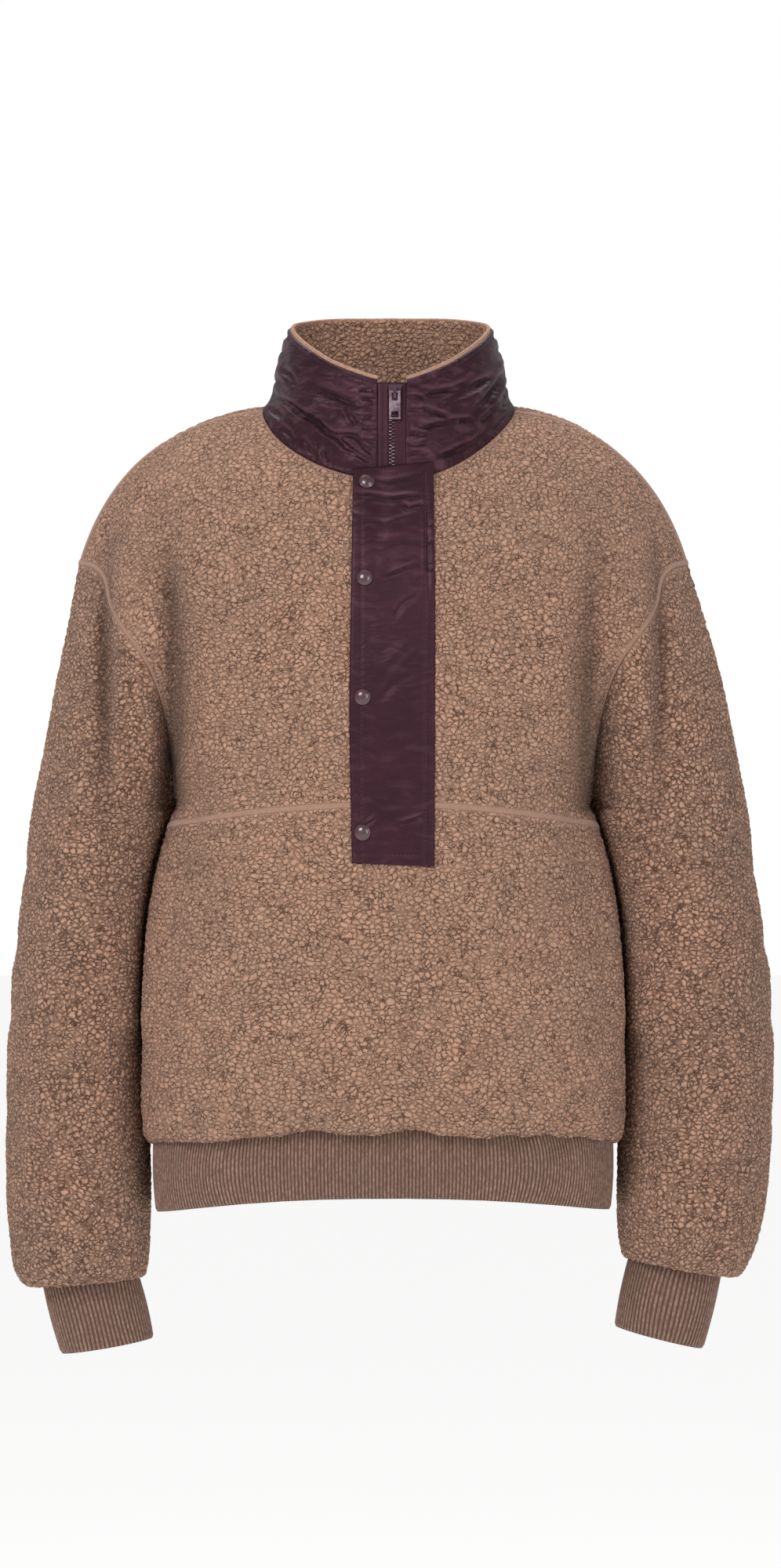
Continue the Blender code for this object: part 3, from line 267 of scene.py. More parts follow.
BACK_ROWS = [
    (0, 116.5, -556.0, 118, 0, -1, 0, 74, 0.0, 186.5, 0, -560),
    (1, 127.0, -560.0, 124, 0, -1, 0, 80, 0.0, 194.0, 0, -564),
    (2, 134.0, -549.0, 127, 0, -1, 0, 84, 0.0, 199.5, 0, -553),
    (3, 139.0, -519.0, 128, 0, -1, 0, 87, 0.0, 200.5, 0, -521),
    (4, 143.5, -476.0, 126, 0, -1, 0, 90, 0.0, 197.0, 0, -477),
    (5, 146.0, -430.0, 122, 0, -1, 0, 92, 0.0, 190.0, 0, -431),
    (6, 146.0, -388.0, 118, 0, -1, 0, 93, 0.0, 182.0, 0, -389),
    (7, 144.5, -352.0, 113, 0, -2, 1, 94, 1.0, 171.0, 0, -354),
    (8, 142.5, -316.0, 107, 0, -3, 4, 96, 3.0, 162.0, 0, -322),
    (9, 140.5, -284.0, 105, 0, -3, 6, 98, 5.0, 158.0, 0, -305),
    (10, 140.0, -240.0, 105, 1, -4, 9, 84, 9.0, 160.5, 25, -287),
    (11, 138.5, -197.0, 107, 2, -5, 10, 66, 13.0, 165.0, 48, -258),
    (12, 135.0, -154.0, 107, 3, -6, 6, 52, 17.0, 173.0, 66, -230),
    (13, 129.5, -111.0, 105, 4, -7, -2, 42, 25.0, 182.0, 77, -205),
    (14, 120.0, -68.0, 101, 6, -9, -10, 32, 32.0, 192.0, 82, -182),
    (15, 104.0, -27.0, 97, 9, -12, -17, 24, 42.0, 203.0, 79, -163),
    (16, 78.0, 12.0, 85, 2, -2, -21, 19, 51.0, 211.0, 68, -147),
    (17, 0.0, 0.0, 66, 4, -4, -20, 15, 57.0, 218.0, 51, -133),
    (18, 0.0, 0.0, 60, 0, -2, -18, 9, 65.0, 225.0, 31, -123),
    (19, 0.0, 0.0, 68, -7, -6, -19.5, -8, 71.0, 234.5, 8, -118),
]
UNDERARM = 9
TIP = 19
NECK_FRONT = 15
NECK_BACK = 16
SEAM_ROW = 8
NOTCH_ROW = 7

# The row's place along the neckline, as degrees from the front round to the back.
# row  angle
NECK_ANGLE_FRONT = [(15, 6.6), (16, 25), (17, 48), (18, 70), (19, 90)]
NECK_ANGLE_BACK = [(16, 173.4), (17, 148), (18, 118), (19, 90)]

# Neckline and collar rim by angle from the front, heights in mm.
# angle  neck_z
NECK_Z = [
    (0, -55.5), (15, -54.0), (30, -46.5), (45, -35.0), (60, -22.0),
    (75, -9.0), (90, 0.5), (120, 6.0), (150, 10.5), (180, 12.0),
]
# angle  rim_z
RIM_Z = [
    (0, 18.0), (12, 21.5), (22.6, 26.5), (35, 33.0), (49, 42.0), (64, 51.0),
    (81, 59.5), (100, 65.0), (122, 69.0), (140, 71.5), (180, 73.0),
]
# share of height  inward dip of the collar's side in mm
COLLAR_DIP = [(0, 0.0), (0.17, 4.4), (0.42, 2.4), (0.7, 1.0), (1.0, 0.0)]

# Sleeve rings below the armhole, in mm: outer and inner edge as seen from the front,
# half depth from front to back, and how far back the ring's middle stands.
# ring  Ox  Oz  Ix  Iz  half_depth  middle_y
SLEEVE_LEFT = [
    (1, 253.0, -183, 175.0, -325, 81, 4),
    (2, 265.0, -246, 183.0, -349, 84, 5),
    (3, 275.0, -300, 188.0, -377, 85, 7),
    (4, 283.0, -360, 190.0, -409, 86, 9),
    (5, 291.0, -433, 189.0, -456, 87, 12),
    (6, 296.0, -511, 187.5, -520, 87, 14),
    (7, 296.5, -585, 185.5, -583, 85, 15),
    (8, 294.5, -640, 186.0, -636, 78, 15),
    (9, 290.5, -664, 187.5, -657, 67, 15),
    (10, 281.5, -675, 191.0, -668, 53, 15),
    (11, 269.5, -673, 194.5, -666, 41, 15),
]
SLEEVE_RIGHT = [
    (1, 249.5, -183, 163.0, -325, 81, 4),
    (2, 264.0, -246, 171.0, -349, 84, 5),
    (3, 274.0, -300, 175.5, -377, 85, 7),
    (4, 282.0, -360, 178.0, -409, 86, 9),
    (5, 292.0, -433, 178.0, -456, 87, 12),
    (6, 295.5, -511, 177.0, -520, 87, 14),
    (7, 292.5, -582, 175.5, -578, 85, 15),
    (8, 286.0, -632, 175.5, -624, 78, 15),
    (9, 278.5, -655, 177.5, -643, 67, 15),
    (10, 268.5, -668, 181.0, -653, 53, 15),
    (11, 256.5, -665, 184.0, -652, 41, 15),
]
# cuff  top middle x, bottom middle x, bottom middle z, slope of the bottom, half width, half depth
CUFF_LEFT = (-232.0, -219.0, -721.5, 0.17, 35.5, 38.0)
CUFF_RIGHT = (220.5, 207.5, -715.0, -0.25, 34.0, 37.0)

# Large folds seen from the front, in mm: a trough where depth is positive.
# z  x  depth  half_width
VALLEY_LEFT = [
    (-60, -176, 0, 15), (-94, -172, 3, 15), (-130, -167, 7, 14), (-186, -162, 11, 13),
    (-226, -163, 13, 12), (-270, -166, 13, 11), (-300, -170, 11, 11), (-345, -174, 0, 11),
]
VALLEY_RIGHT = [
    (-60, 162, 0, 15), (-95, 158, 3, 15), (-130, 154, 7, 14), (-186, 150, 11, 13),
    (-226, 149, 13, 12), (-270, 149, 13, 11), (-300, 150, 11, 11), (-345, 155, 0, 11),
]
RIDGE_LEFT = [
    (-80, -196, 0, 15), (-130, -193, -2, 15), (-180, -189, -5, 14), (-220, -184, -7, 14),
    (-262, -180, -7, 13), (-300, -174, -5, 12), (-335, -172, 0, 12),
]
RIDGE_RIGHT = [
    (-80, 185, 0, 15), (-130, 183, -2, 15), (-180, 182, -5, 14), (-220, 181, -7, 14),
    (-262, 178, -7, 13), (-300, 170, -5, 12), (-335, 164, 0, 12),
]
CREASE_LEFT = [
    (-28, -214, 0, 10), (-50, -216, 3, 10), (-80, -217, 6, 10), (-118, -218, 8, 10),
    (-170, -218, 8, 10), (-220, -218, 7, 11), (-263, -217, 5, 12), (-305, -215, 3, 13),
    (-350, -212, 0, 13),
]
CREASE_RIGHT = [
    (-30, 201, 0, 10), (-57, 204, 3, 10), (-80, 205, 6, 10), (-118, 206, 8, 10),
    (-170, 206, 8, 10), (-220, 206, 7, 11), (-263, 205, 5, 12), (-312, 199, 3, 13),
    (-358, 192, 0, 13),
]
BACK_VALLEY_LEFT = [
    (-90, -178, 0, 18), (-140, -174, 5, 17), (-200, -169, 9, 15), (-260, -168, 11, 13),
    (-300, -171, 9, 12), (-345, -176, 0, 12),
]
BACK_VALLEY_RIGHT = [
    (-70, 170, 0, 18), (-130, 165, 6, 17), (-190, 160, 10, 15), (-250, 157, 11, 13),
    (-300, 157, 8, 12), (-345, 160, 0, 12),
]
FRONT_FOLDS = [VALLEY_LEFT, VALLEY_RIGHT, RIDGE_LEFT, RIDGE_RIGHT, CREASE_LEFT, CREASE_RIGHT]
BACK_FOLDS = [BACK_VALLEY_LEFT, BACK_VALLEY_RIGHT]
# z  depth in mm of the hollow that each hanging sleeve presses into the body's side
SIDE_DENT = [(-700, 18), (-560, 22), (-520, 23), (-477, 20), (-431, 14), (-389, 8), (-350, 1), (-330, 0), (0, 0)]


def spline(table, t, first=0):
    """Smooth curve through the rows of a table: column 0 is the place, the rest the values."""
    rows = np.array(table, float)
    x = rows[:, first]
    y = rows[:, first + 1:]
    t = np.clip(np.asarray(t, float), x[0], x[-1])
    step = np.diff(x)
    slope = np.diff(y, axis=0) / step[:, None]
    m = np.empty_like(y)
    m[0] = slope[0]
    m[-1] = slope[-1]
    if len(x) > 2:
        w = step[1:, None]
        u = step[:-1, None]
        m[1:-1] = (slope[:-1] * w + slope[1:] * u) / (u + w)
    k = np.clip(np.searchsorted(x, t, side="right") - 1, 0, len(x) - 2)
    h = step[k]
    f = ((t - x[k]) / h)[..., None]
    h = h[..., None]
    a = y[k]
    b = y[k + 1]
    return ((2 * f**3 - 3 * f**2 + 1) * a + (f**3 - 2 * f**2 + f) * h * m[k]
            + (3 * f**2 - 2 * f**3) * b + (f**3 - f**2) * h * m[k + 1])


def ease(t):
    t = np.clip(t, 0.0, 1.0)
    return t * t * (3.0 - 2.0 * t)


def crease_depth(x, z, lines):
    """Summed depth of soft uneven troughs along polylines, in the unit of x and z."""
    total = np.zeros(np.broadcast(x, z).shape)
    for points, depth, width in lines:
        pts = np.array(points, float)
        lo = pts.min(axis=0) - 4 * width
        hi = pts.max(axis=0) + 4 * width
        near = (x > lo[0]) & (x < hi[0]) & (z > lo[1]) & (z < hi[1])
        if not near.any():
            continue
        qx, qz = x[near], z[near]
        seg = np.linalg.norm(np.diff(pts, axis=0), axis=1)
        best = np.full(qx.shape, 1e9)
        signed = np.zeros(qx.shape)
        along = np.zeros(qx.shape)
        at = 0.0
        for a, b, h in zip(pts[:-1], pts[1:], seg):
            ux, uz = (b - a) / h
            t = np.clip((qx - a[0]) * ux + (qz - a[1]) * uz, 0, h)
            dx = qx - a[0] - t * ux
            dz = qz - a[1] - t * uz
            d = np.hypot(dx, dz)
            closer = d < best
            best = np.where(closer, d, best)
            signed = np.where(closer, np.sign(dx * uz - dz * ux) * d, signed)
            along = np.where(closer, (at + t) / seg.sum(), along)
            at += h
        fade = ease(along / 0.35) * ease((1.0 - along) / 0.35)
        uneven = 0.8 + 0.2 * np.sin(along * 9.0 + pts[0, 0])
        shape_across = np.exp(-((best / width) ** 2)) - 0.4 * np.exp(-(((signed - 1.8 * width) / width) ** 2))
        total[near] += depth * fade * uneven * shape_across
    return total


def lean(p):
    """The wearer stands a little to the viewer's left: a small sideways shift below the neck."""
    shift = -5.5 * ease((20.0 - p[..., 2]) / 60.0) * ease(np.abs(p[..., 0]) / 120.0)
    p[..., 0] += shift + ZIP_X * 1000.0 * (1.0 - ease(np.abs(p[..., 0]) / 60.0))
    return p


def neck(angle):
    """Neckline point at an angle in degrees from the front centre."""
    a = np.radians(angle)
    c = np.cos(a)
    depth = np.where(c > 0, 93.0, 83.0)
    return np.stack([97.0 * np.sin(a), -5.0 - depth * c, spline(NECK_Z, angle)[..., 0]], axis=-1)


def row_parts(rows, v, neck_row, neck_table):
    """Centre-line point, its reach, the edge's reach and the edge point of each row v."""
    table = np.array(rows, float)
    v = np.asarray(v, float)
    low = table[: neck_row + 1]
    start = np.zeros(v.shape + (3,))
    start[..., 1:] = spline(low[:, [0, 1, 2]], v)
    on_neck = neck(spline(neck_table, np.maximum(v, neck_row))[..., 0])
    start = np.where((v >= neck_row)[..., None], on_neck, start)
    d1 = spline(table[:, [0, 3, 4, 5]], v)
    d2 = spline(table[:, [0, 6, 7, 8]], v)
    side = spline(table[: UNDERARM + 1][:, [0, 9, 10, 11]], v)
    arm = spline(table[UNDERARM:][:, [0, 9, 10, 11]], v)
    edge = np.where((v > UNDERARM)[..., None], arm, side)
    return start, start + d1, edge + d2, edge


def bezier(p0, p1, p2, p3, s):
    s = s[..., None]
    q = 1.0 - s
    return q**3 * p0 + 3 * q**2 * s * p1 + 3 * q * s**2 * p2 + s**3 * p3


def press_side(p):
    """Hollow in the body's side beside the hanging sleeve."""
    depth = spline(SIDE_DENT, p[..., 2])[..., 0]
    p[..., 0] -= depth * np.exp(-(((p[..., 1] - 15.0) / 58.0) ** 2)) * ease(p[..., 0] / 90.0)
    return p


def half_base(parts, s, cut):
    """Half of a torso panel in mm; cut starts it at the zip's edge, not the centre line."""
    p0, p1, p2, p3 = parts
    s0 = np.zeros(s.shape)
    if cut:
        gap = ZIP_HALF * 1000.0
        need = p0[..., 0] < gap - 0.1
        for _ in range(12):
            x = bezier(p0, p1, p2, p3, s0)[..., 0]
            s0 = np.where(need, s0 + (gap - x) / (3.0 * (p1 - p0)[..., 0]), 0.0)
    return press_side(bezier(p0, p1, p2, p3, s0 + (1.0 - s0) * s))


def front_base(s, v, cut=True):
    """Right half of the front in mm, s from the zip's edge to the side, v the row."""
    s, v = np.broadcast_arrays(np.asarray(s, float), np.asarray(v, float))
    return half_base(row_parts(FRONT_ROWS, v, NECK_FRONT, NECK_ANGLE_FRONT), s, cut)


def back_base(s, v, cut=True):
    """Right half of the back in mm, s from beside the centre line to the side, v the row."""
    s, v = np.broadcast_arrays(np.asarray(s, float), np.asarray(v, float))
    return half_base(row_parts(BACK_ROWS, v, NECK_BACK, NECK_ANGLE_BACK), s, cut)


def fold_shift(p, folds):
    total = np.zeros(p.shape[:-1])
    for table in folds:
        rows = sorted(table)
        x, depth, width = np.moveaxis(spline(rows, p[..., 2]), -1, 0)
        lo, hi = rows[0][0], rows[-1][0]
        fade = ease((p[..., 2] - lo) / 25.0) * ease((hi - p[..., 2]) / 25.0)
        total += depth * fade * np.exp(-(((p[..., 0] - x) / width) ** 2))
    return total


def step_back(p):
    """Outside the sleeve's front crease the cloth stands a little further back."""
    out = np.zeros(p.shape[:-1])
    for table, sign in ((CREASE_LEFT, -1.0), (CREASE_RIGHT, 1.0)):
        rows = sorted(table)
        x = spline(rows, p[..., 2])[..., 0]
        fade = ease((p[..., 2] + 350.0) / 90.0) * ease((-40.0 - p[..., 2]) / 60.0)
        out += 4.5 * fade * ease((sign * (p[..., 0] - x) + 2.0) / 14.0)
    return out


def shape(p, part):
    """Large folds, as shifts from front to back that fade out towards the side seams.

    part is -1 for the body and 1 for a sleeve: each keeps to its own side of where they meet."""
    front = ease((-p[..., 1] - 8.0) / 35.0)
    back = ease((p[..., 1] - 12.0) / 35.0)
    shift = front * (fold_shift(p, FRONT_FOLDS) + step_back(p)) - back * fold_shift(p, BACK_FOLDS)
    x, y, z = p[..., 0], p[..., 1], p[..., 2]
    shift += front * crease_depth(x, z, FRONT_CREASES) - back * crease_depth(x, z, BACK_CREASES)
    out = ease((np.abs(x) - 200.0) / 60.0) * np.sign(x)
    p[..., 0] -= out * (0.6 * crease_depth(y, z, OUTER_CREASES) + 0.5 * np.sin(z / 37.0 + np.sin(z / 53.0) * 2.4))
    p[..., 1] += shift
    wave = 2.1 * np.sin(x / 17.0 + 1.3 * np.sin(x / 41.0)) + 0.8 * np.sin(x / 6.1 + y / 9.0)
    p[..., 2] += wave * ease((-536.0 - z) / 12.0) * ease((190.0 - np.abs(x)) / 20.0)
    for table, sign in ((MEET_LEFT, -1.0), (MEET_RIGHT, 1.0)):
        meet = spline(table, z)[..., 0] + MEET_BEND * np.tanh((y + 4.0) / 10.0)
        apart = part * (sign * p[..., 0] - meet)
        close = np.exp(-((apart / 18.0) ** 2)) * ease((-305.0 - z) / 7.0) * ease((z + 492.0) / 24.0)
        close *= ease((90.0 - np.abs(y)) / 30.0)
        p[..., 0] -= sign * part * 0.97 * close * (apart - MEET_CLEAR)
    return p


# Where the body's side and the sleeve's inner side lie beside each other: z, distance out.
# The line between them bends inwards to the rear, and each cloth keeps clear of it, in mm.
MEET_BEND = -3.2
MEET_CLEAR = 1.0
MEET_LEFT = [
    (-490, 189.0), (-460, 188.5), (-440, 188.0), (-420, 187.2), (-400, 186.1), (-385, 184.7), (-370, 182.6),
    (-355, 180.0), (-340, 176.2), (-325, 171.6), (-308, 165.0),
]
MEET_RIGHT = [
    (-490, 178.2), (-460, 177.5), (-440, 176.8), (-420, 175.8), (-400, 174.5), (-385, 173.0), (-370, 171.0),
    (-355, 168.4), (-340, 164.7), (-325, 160.2), (-308, 154.2),
]


def hollow(g):
    """How deep in a trough each point of a grid lies, 0 to 1: the fleece paints shade in its troughs by this depth.
    """
    p = g * 1000.0
    x, y, z = p[..., 0], p[..., 1], p[..., 2]
    front = ease((-y - 8.0) / 35.0)
    back = ease((y - 12.0) / 35.0)
    troughs = [VALLEY_LEFT, VALLEY_RIGHT, CREASE_LEFT, CREASE_RIGHT]
    depth = front * (0.6 * fold_shift(p, troughs) + np.maximum(crease_depth(x, z, FRONT_CREASES), 0.0))
    depth += back * (0.6 * fold_shift(p, BACK_FOLDS) + np.maximum(crease_depth(x, z, BACK_CREASES), 0.0))
    return np.clip(depth / 11.0, 0.0, 1.0)


def flip(p, side):
    if side < 0:
        p[..., 0] *= -1.0
    return p


def front_raw(s, v, side, cut=True):
    return lean(flip(front_base(s, v, cut), side))


def back_raw(s, v, side, cut=True):
    return lean(flip(back_base(s, v, cut), side))


def front_point(s, v, side, cut=True):
    return shape(front_raw(s, v, side, cut), -1) * 0.001


def back_point(s, v, side, cut=True):
    return shape(back_raw(s, v, side, cut), -1) * 0.001


def ring_point(o, i, half, middle, turn, side):
    """Point on a slanted oval ring: turn 0 at the inner edge, 5 front, 10 outer, 15 back."""
    a = turn / 20.0 * 2.0 * math.pi
    mid = 0.5 * (o + i)
    reach = 0.5 * (i - o)
    x = mid[..., 0] + reach[..., 0] * np.cos(a)
    z = mid[..., 1] + reach[..., 1] * np.cos(a)
    y = middle - half * np.sin(a)
    return np.stack([side * x, y, z], axis=-1)


def sleeve_point(turn, w, side):
    """Sleeve surface: turn round the arm, w along it from the armhole to the cuff's seam."""
    turn, w = np.broadcast_arrays(np.asarray(turn, float), np.asarray(w, float))
    table = np.array(SLEEVE_LEFT if side < 0 else SLEEVE_RIGHT, float)
    front = front_raw(np.ones(turn.shape), UNDERARM + np.minimum(turn, 10.0), side)
    back = back_raw(np.ones(turn.shape), UNDERARM + np.minimum(20.0 - turn, 10.0), side)
    armhole = np.where((turn <= 10.0)[..., None], front, back)
    knots = [armhole]
    for row in table:
        o = np.broadcast_to(row[[1, 2]], turn.shape + (2,))
        i = np.broadcast_to(row[[3, 4]], turn.shape + (2,))
        knots.append(ring_point(o, i, row[5], row[6], turn, side))
    knots = np.stack(knots)
    n = len(knots) - 1
    k = np.clip(np.floor(w).astype(int), 0, n - 1)
    f = (w - k)[..., None]
    span = np.linalg.norm(np.diff(knots, axis=0), axis=-1)[..., None]
    slope = np.diff(knots, axis=0) / np.maximum(span, 1.0)
    m = np.concatenate([slope[:1], 0.5 * (slope[:-1] + slope[1:]), slope[-1:]])
    pick = np.arange(turn.size)

    def take(array, index):
        flat = array.reshape(array.shape[0], turn.size, -1)
        return flat[index.ravel(), pick].reshape(turn.shape + (array.shape[-1],))

    h = take(span, k)
    a = take(knots, k)
    b = take(knots, k + 1)
    ma = take(m, k)
    mb = take(m, k + 1)
    p = ((2 * f**3 - 3 * f**2 + 1) * a + (f**3 - 2 * f**2 + f) * h * ma
         + (3 * f**2 - 2 * f**3) * b + (f**3 - f**2) * h * mb)
    return shape(p, 1) * 0.001


def collar_point(angle, rise, side):
    """Collar's outer face: angle in degrees from the front, rise 0 at the seam, 1 at the rim."""
    angle, rise = np.broadcast_arrays(np.asarray(angle, float), np.asarray(rise, float))
    a = np.radians(angle)
    c = np.cos(a)
    s = np.sin(a)
    base = neck(angle)
    rim = np.stack([78.5 * s, -4.0 - np.where(c > 0, 84.0, 76.0) * c, spline(RIM_Z, angle)[..., 0]], axis=-1)
    f = rise[..., None]
    p = base * (1.0 - f) + rim * f
    dip = spline(COLLAR_DIP, rise)[..., 0] * s**2 - 0.8 * np.sin(math.pi * rise) * (1.0 - s**2)
    p[..., 0] -= dip * s
    p[..., 1] += dip * c
    return lean(flip(p, side)) * 0.001


def front_angle(rise):
    """Angle at which the collar meets the zip's edge."""
    width = 97.0 + (78.5 - 97.0) * rise
    return math.degrees(math.asin(ZIP_HALF * 1000.0 / width))



def even(path, a, b, step=STEP, group=GROUP):
    """Places along a path that split it into even steps, in groups that the inner side shares."""
    t = np.linspace(a, b, 400)
    p = path(t)
    length = np.concatenate([[0.0], np.cumsum(np.linalg.norm(np.diff(p, axis=0), axis=1))])
    n = group * max(1, int(round(length[-1] / step / group)))
    return np.interp(np.linspace(0, length[-1], n + 1), length, t)


def grid_normals(g, wrap=False):
    if wrap:
        du = np.roll(g, -1, axis=1) - np.roll(g, 1, axis=1)
    else:
        du = np.gradient(g, axis=1)
    n = np.cross(du, np.gradient(g, axis=0))
    return n / (np.linalg.norm(n, axis=-1, keepdims=True) + 1e-12)


def add_object(name, verts, faces, mat, smooth=True):
    mesh = bpy.data.meshes.new(name)
    mesh.from_pydata([tuple(v) for v in verts], [], faces)
    mesh.validate()
    if smooth:
        mesh.shade_smooth()
    mesh.materials.append(mat)
    obj = bpy.data.objects.new(name, mesh)
    bpy.context.scene.collection.objects.link(obj)
    return obj


def set_field(obj, name, values):
    kind = "FLOAT_VECTOR" if values.ndim == 2 else "FLOAT"
    field = obj.data.attributes.new(name, kind, "POINT")
    field.data.foreach_set("vector" if values.ndim == 2 else "value", values.astype(np.float32).ravel())


def cloth(name, g, thick, mat, keep=None, wrap=False, fields=None, group=GROUP, normals=None):
    """Thin closed wall: a fine outer grid, an inner one with every group-th point, and the edges."""
    rows, cols = g.shape[:2]
    n = grid_normals(g, wrap) if normals is None else normals
    if keep is None:
        keep = np.ones((rows - 1, cols if wrap else cols - 1), bool)
    index = np.arange(rows * cols).reshape(rows, cols)
    here = index if wrap else index[:, :-1]
    after = np.roll(index, -1, axis=1) if wrap else index[:, 1:]
    quads = np.stack([here[:-1], after[:-1], after[1:], here[1:]], axis=-1)[keep]
    ir = np.arange(0, rows, group)
    ic = np.arange(0, cols, group)
    inner = (g - n * thick)[ir][:, ic]
    inner_index = rows * cols + np.arange(len(ir) * len(ic)).reshape(len(ir), len(ic))
    verts = np.vstack([g.reshape(-1, 3), inner.reshape(-1, 3)])
    faces = quads.tolist()
    edges = {}
    steps = len(ic) if wrap else len(ic) - 1
    for r in range(len(ir) - 1):
        for c in range(steps):
            if not keep[r * group, c * group]:
                continue
            d = (c + 1) % len(ic)
            ring = [(r, c), (r, d), (r + 1, d), (r + 1, c)]
            faces.append([int(inner_index[q]) for q in reversed(ring)])
            for a, b in zip(ring, ring[1:] + ring[:1]):
                if (b, a) in edges:
                    del edges[(b, a)]
                else:
                    edges[(a, b)] = True
    for a, b in edges:
        (ra, ca), (rb, cb) = a, b
        if ra == rb:
            way = 1 if (cb - ca) % len(ic) == 1 or cb == ca + 1 else -1
            fine = [index[ra * group, (ca * group + way * k) % cols] for k in range(group + 1)]
        else:
            way = 1 if rb > ra else -1
            fine = [index[ra * group + way * k, ca * group] for k in range(group + 1)]
        faces.append([int(i) for i in reversed(fine)] + [int(inner_index[a]), int(inner_index[b])])
    used = np.zeros(len(verts), bool)
    for f in faces:
        used[f] = True
    renumber = np.cumsum(used) - 1
    faces = [[int(renumber[i]) for i in f] for f in faces]
    obj = add_object(name, verts[used], faces, mat)
    set_field(obj, "rest", verts[used])
    for key, values in (fields or {}).items():
        full = np.concatenate([values.reshape(-1), np.zeros(inner_index.size)])
        set_field(obj, key, full[used])
    return obj


def edge_fade(g, wrap=False, width=0.0035, sides="btse"):
    """0 on the named edges of a grid and 1 further in: bottom, top, start and end."""
    rows, cols = g.shape[:2]
    r = np.arange(rows)[:, None] * STEP
    c = np.arange(cols)[None, :] * STEP
    far = np.full((rows, cols), 1.0)
    if "b" in sides:
        far = np.minimum(far, r)
    if "t" in sides:
        far = np.minimum(far, r[::-1])
    if "s" in sides and not wrap:
        far = np.minimum(far, c)
    if "e" in sides and not wrap:
        far = np.minimum(far, c[:, ::-1])
    return ease(far / width)


def applied(obj):
    """Applies the object's modifiers."""
    graph = bpy.context.evaluated_depsgraph_get()
    mesh = bpy.data.meshes.new_from_object(obj.evaluated_get(graph), preserve_all_data_layers=True, depsgraph=graph)
    obj.modifiers.clear()
    obj.data = mesh
    return obj


# Node helpers: inputs given as sockets are linked, and others are set.
class Nodes:
    def __init__(self, tree):
        self.tree = tree

    def add(self, kind, inputs=None, **props):
        node = self.tree.nodes.new(kind)
        for key, value in props.items():
            setattr(node, key, value)
        for key, value in (inputs or {}).items():
            if isinstance(value, bpy.types.NodeSocket):
                self.tree.links.new(value, node.inputs[key])
            else:
                node.inputs[key].default_value = value
        return node

    def math(self, operation, a, b=0.0, c=0.0):
        return self.add("ShaderNodeMath", {0: a, 1: b, 2: c}, operation=operation).outputs[0]

    def vmath(self, operation, a, b=(0, 0, 0), c=None):
        inputs = {0: a, 1: b}
        if c is not None:
            inputs[2] = c
        return self.add("ShaderNodeVectorMath", inputs, operation=operation).outputs[0]

    def ramp(self, value, a, b, low=0.0, high=1.0, soft=True):
        kind = "SMOOTHSTEP" if soft else "LINEAR"
        names = {"Value": value, "From Min": a, "From Max": b, "To Min": low, "To Max": high}
        return self.add("ShaderNodeMapRange", names, interpolation_type=kind).outputs[0]

    def noise(self, where, scale, detail=2.0, rough=0.5):
        return self.add("ShaderNodeTexNoise", {"Vector": where, "Scale": scale, "Detail": detail,
                                               "Roughness": rough})

    def mix(self, share, a, b, blend="MIX"):
        node = self.add("ShaderNodeMix", {0: share, 6: a, 7: b}, data_type="RGBA", blend_type=blend)
        return node.outputs[2]

    def field(self, name):
        return self.add("ShaderNodeAttribute", attribute_name=name)


def rgb(r, g, b):
    """sRGB 0 to 255 as a linear colour."""
    out = []
    for c in (r, g, b):
        c = c / 255.0
        out.append(c / 12.92 if c <= 0.04045 else ((c + 0.055) / 1.055) ** 2.4)
    return (*out, 1.0)


CRUMB_SCALE = 222.0


def crumbs(n, where):
    """Places in crumb space, and the distance to the nearest crack between crumbs."""
    wobble = n.noise(where, 120.0, 1.0)
    nibble = n.noise(where, 420.0, 1.0)
    drift = n.noise(where, 22.0, 1.0)
    bent = n.vmath("MULTIPLY_ADD", wobble.outputs["Color"], (0.0026, 0.0026, 0.0026), where)
    bent = n.vmath("MULTIPLY_ADD", nibble.outputs["Color"], (0.0031, 0.0031, 0.0031), bent)
    bent = n.vmath("MULTIPLY_ADD", drift.outputs["Color"], (0.012, 0.012, 0.012), bent)
    place = n.vmath("MULTIPLY", bent, (1.0, 1.0, 1.30))
    cell = n.add("ShaderNodeTexVoronoi", {"Vector": place, "Scale": CRUMB_SCALE, "Randomness": 1.0},
                 feature="DISTANCE_TO_EDGE")
    return place, cell.outputs["Distance"]


def new_material(name):
    mat = bpy.data.materials.new(name)
    mat.use_nodes = True
    tree = mat.node_tree
    shader = tree.nodes["Principled BSDF"]
    return mat, Nodes(tree), shader
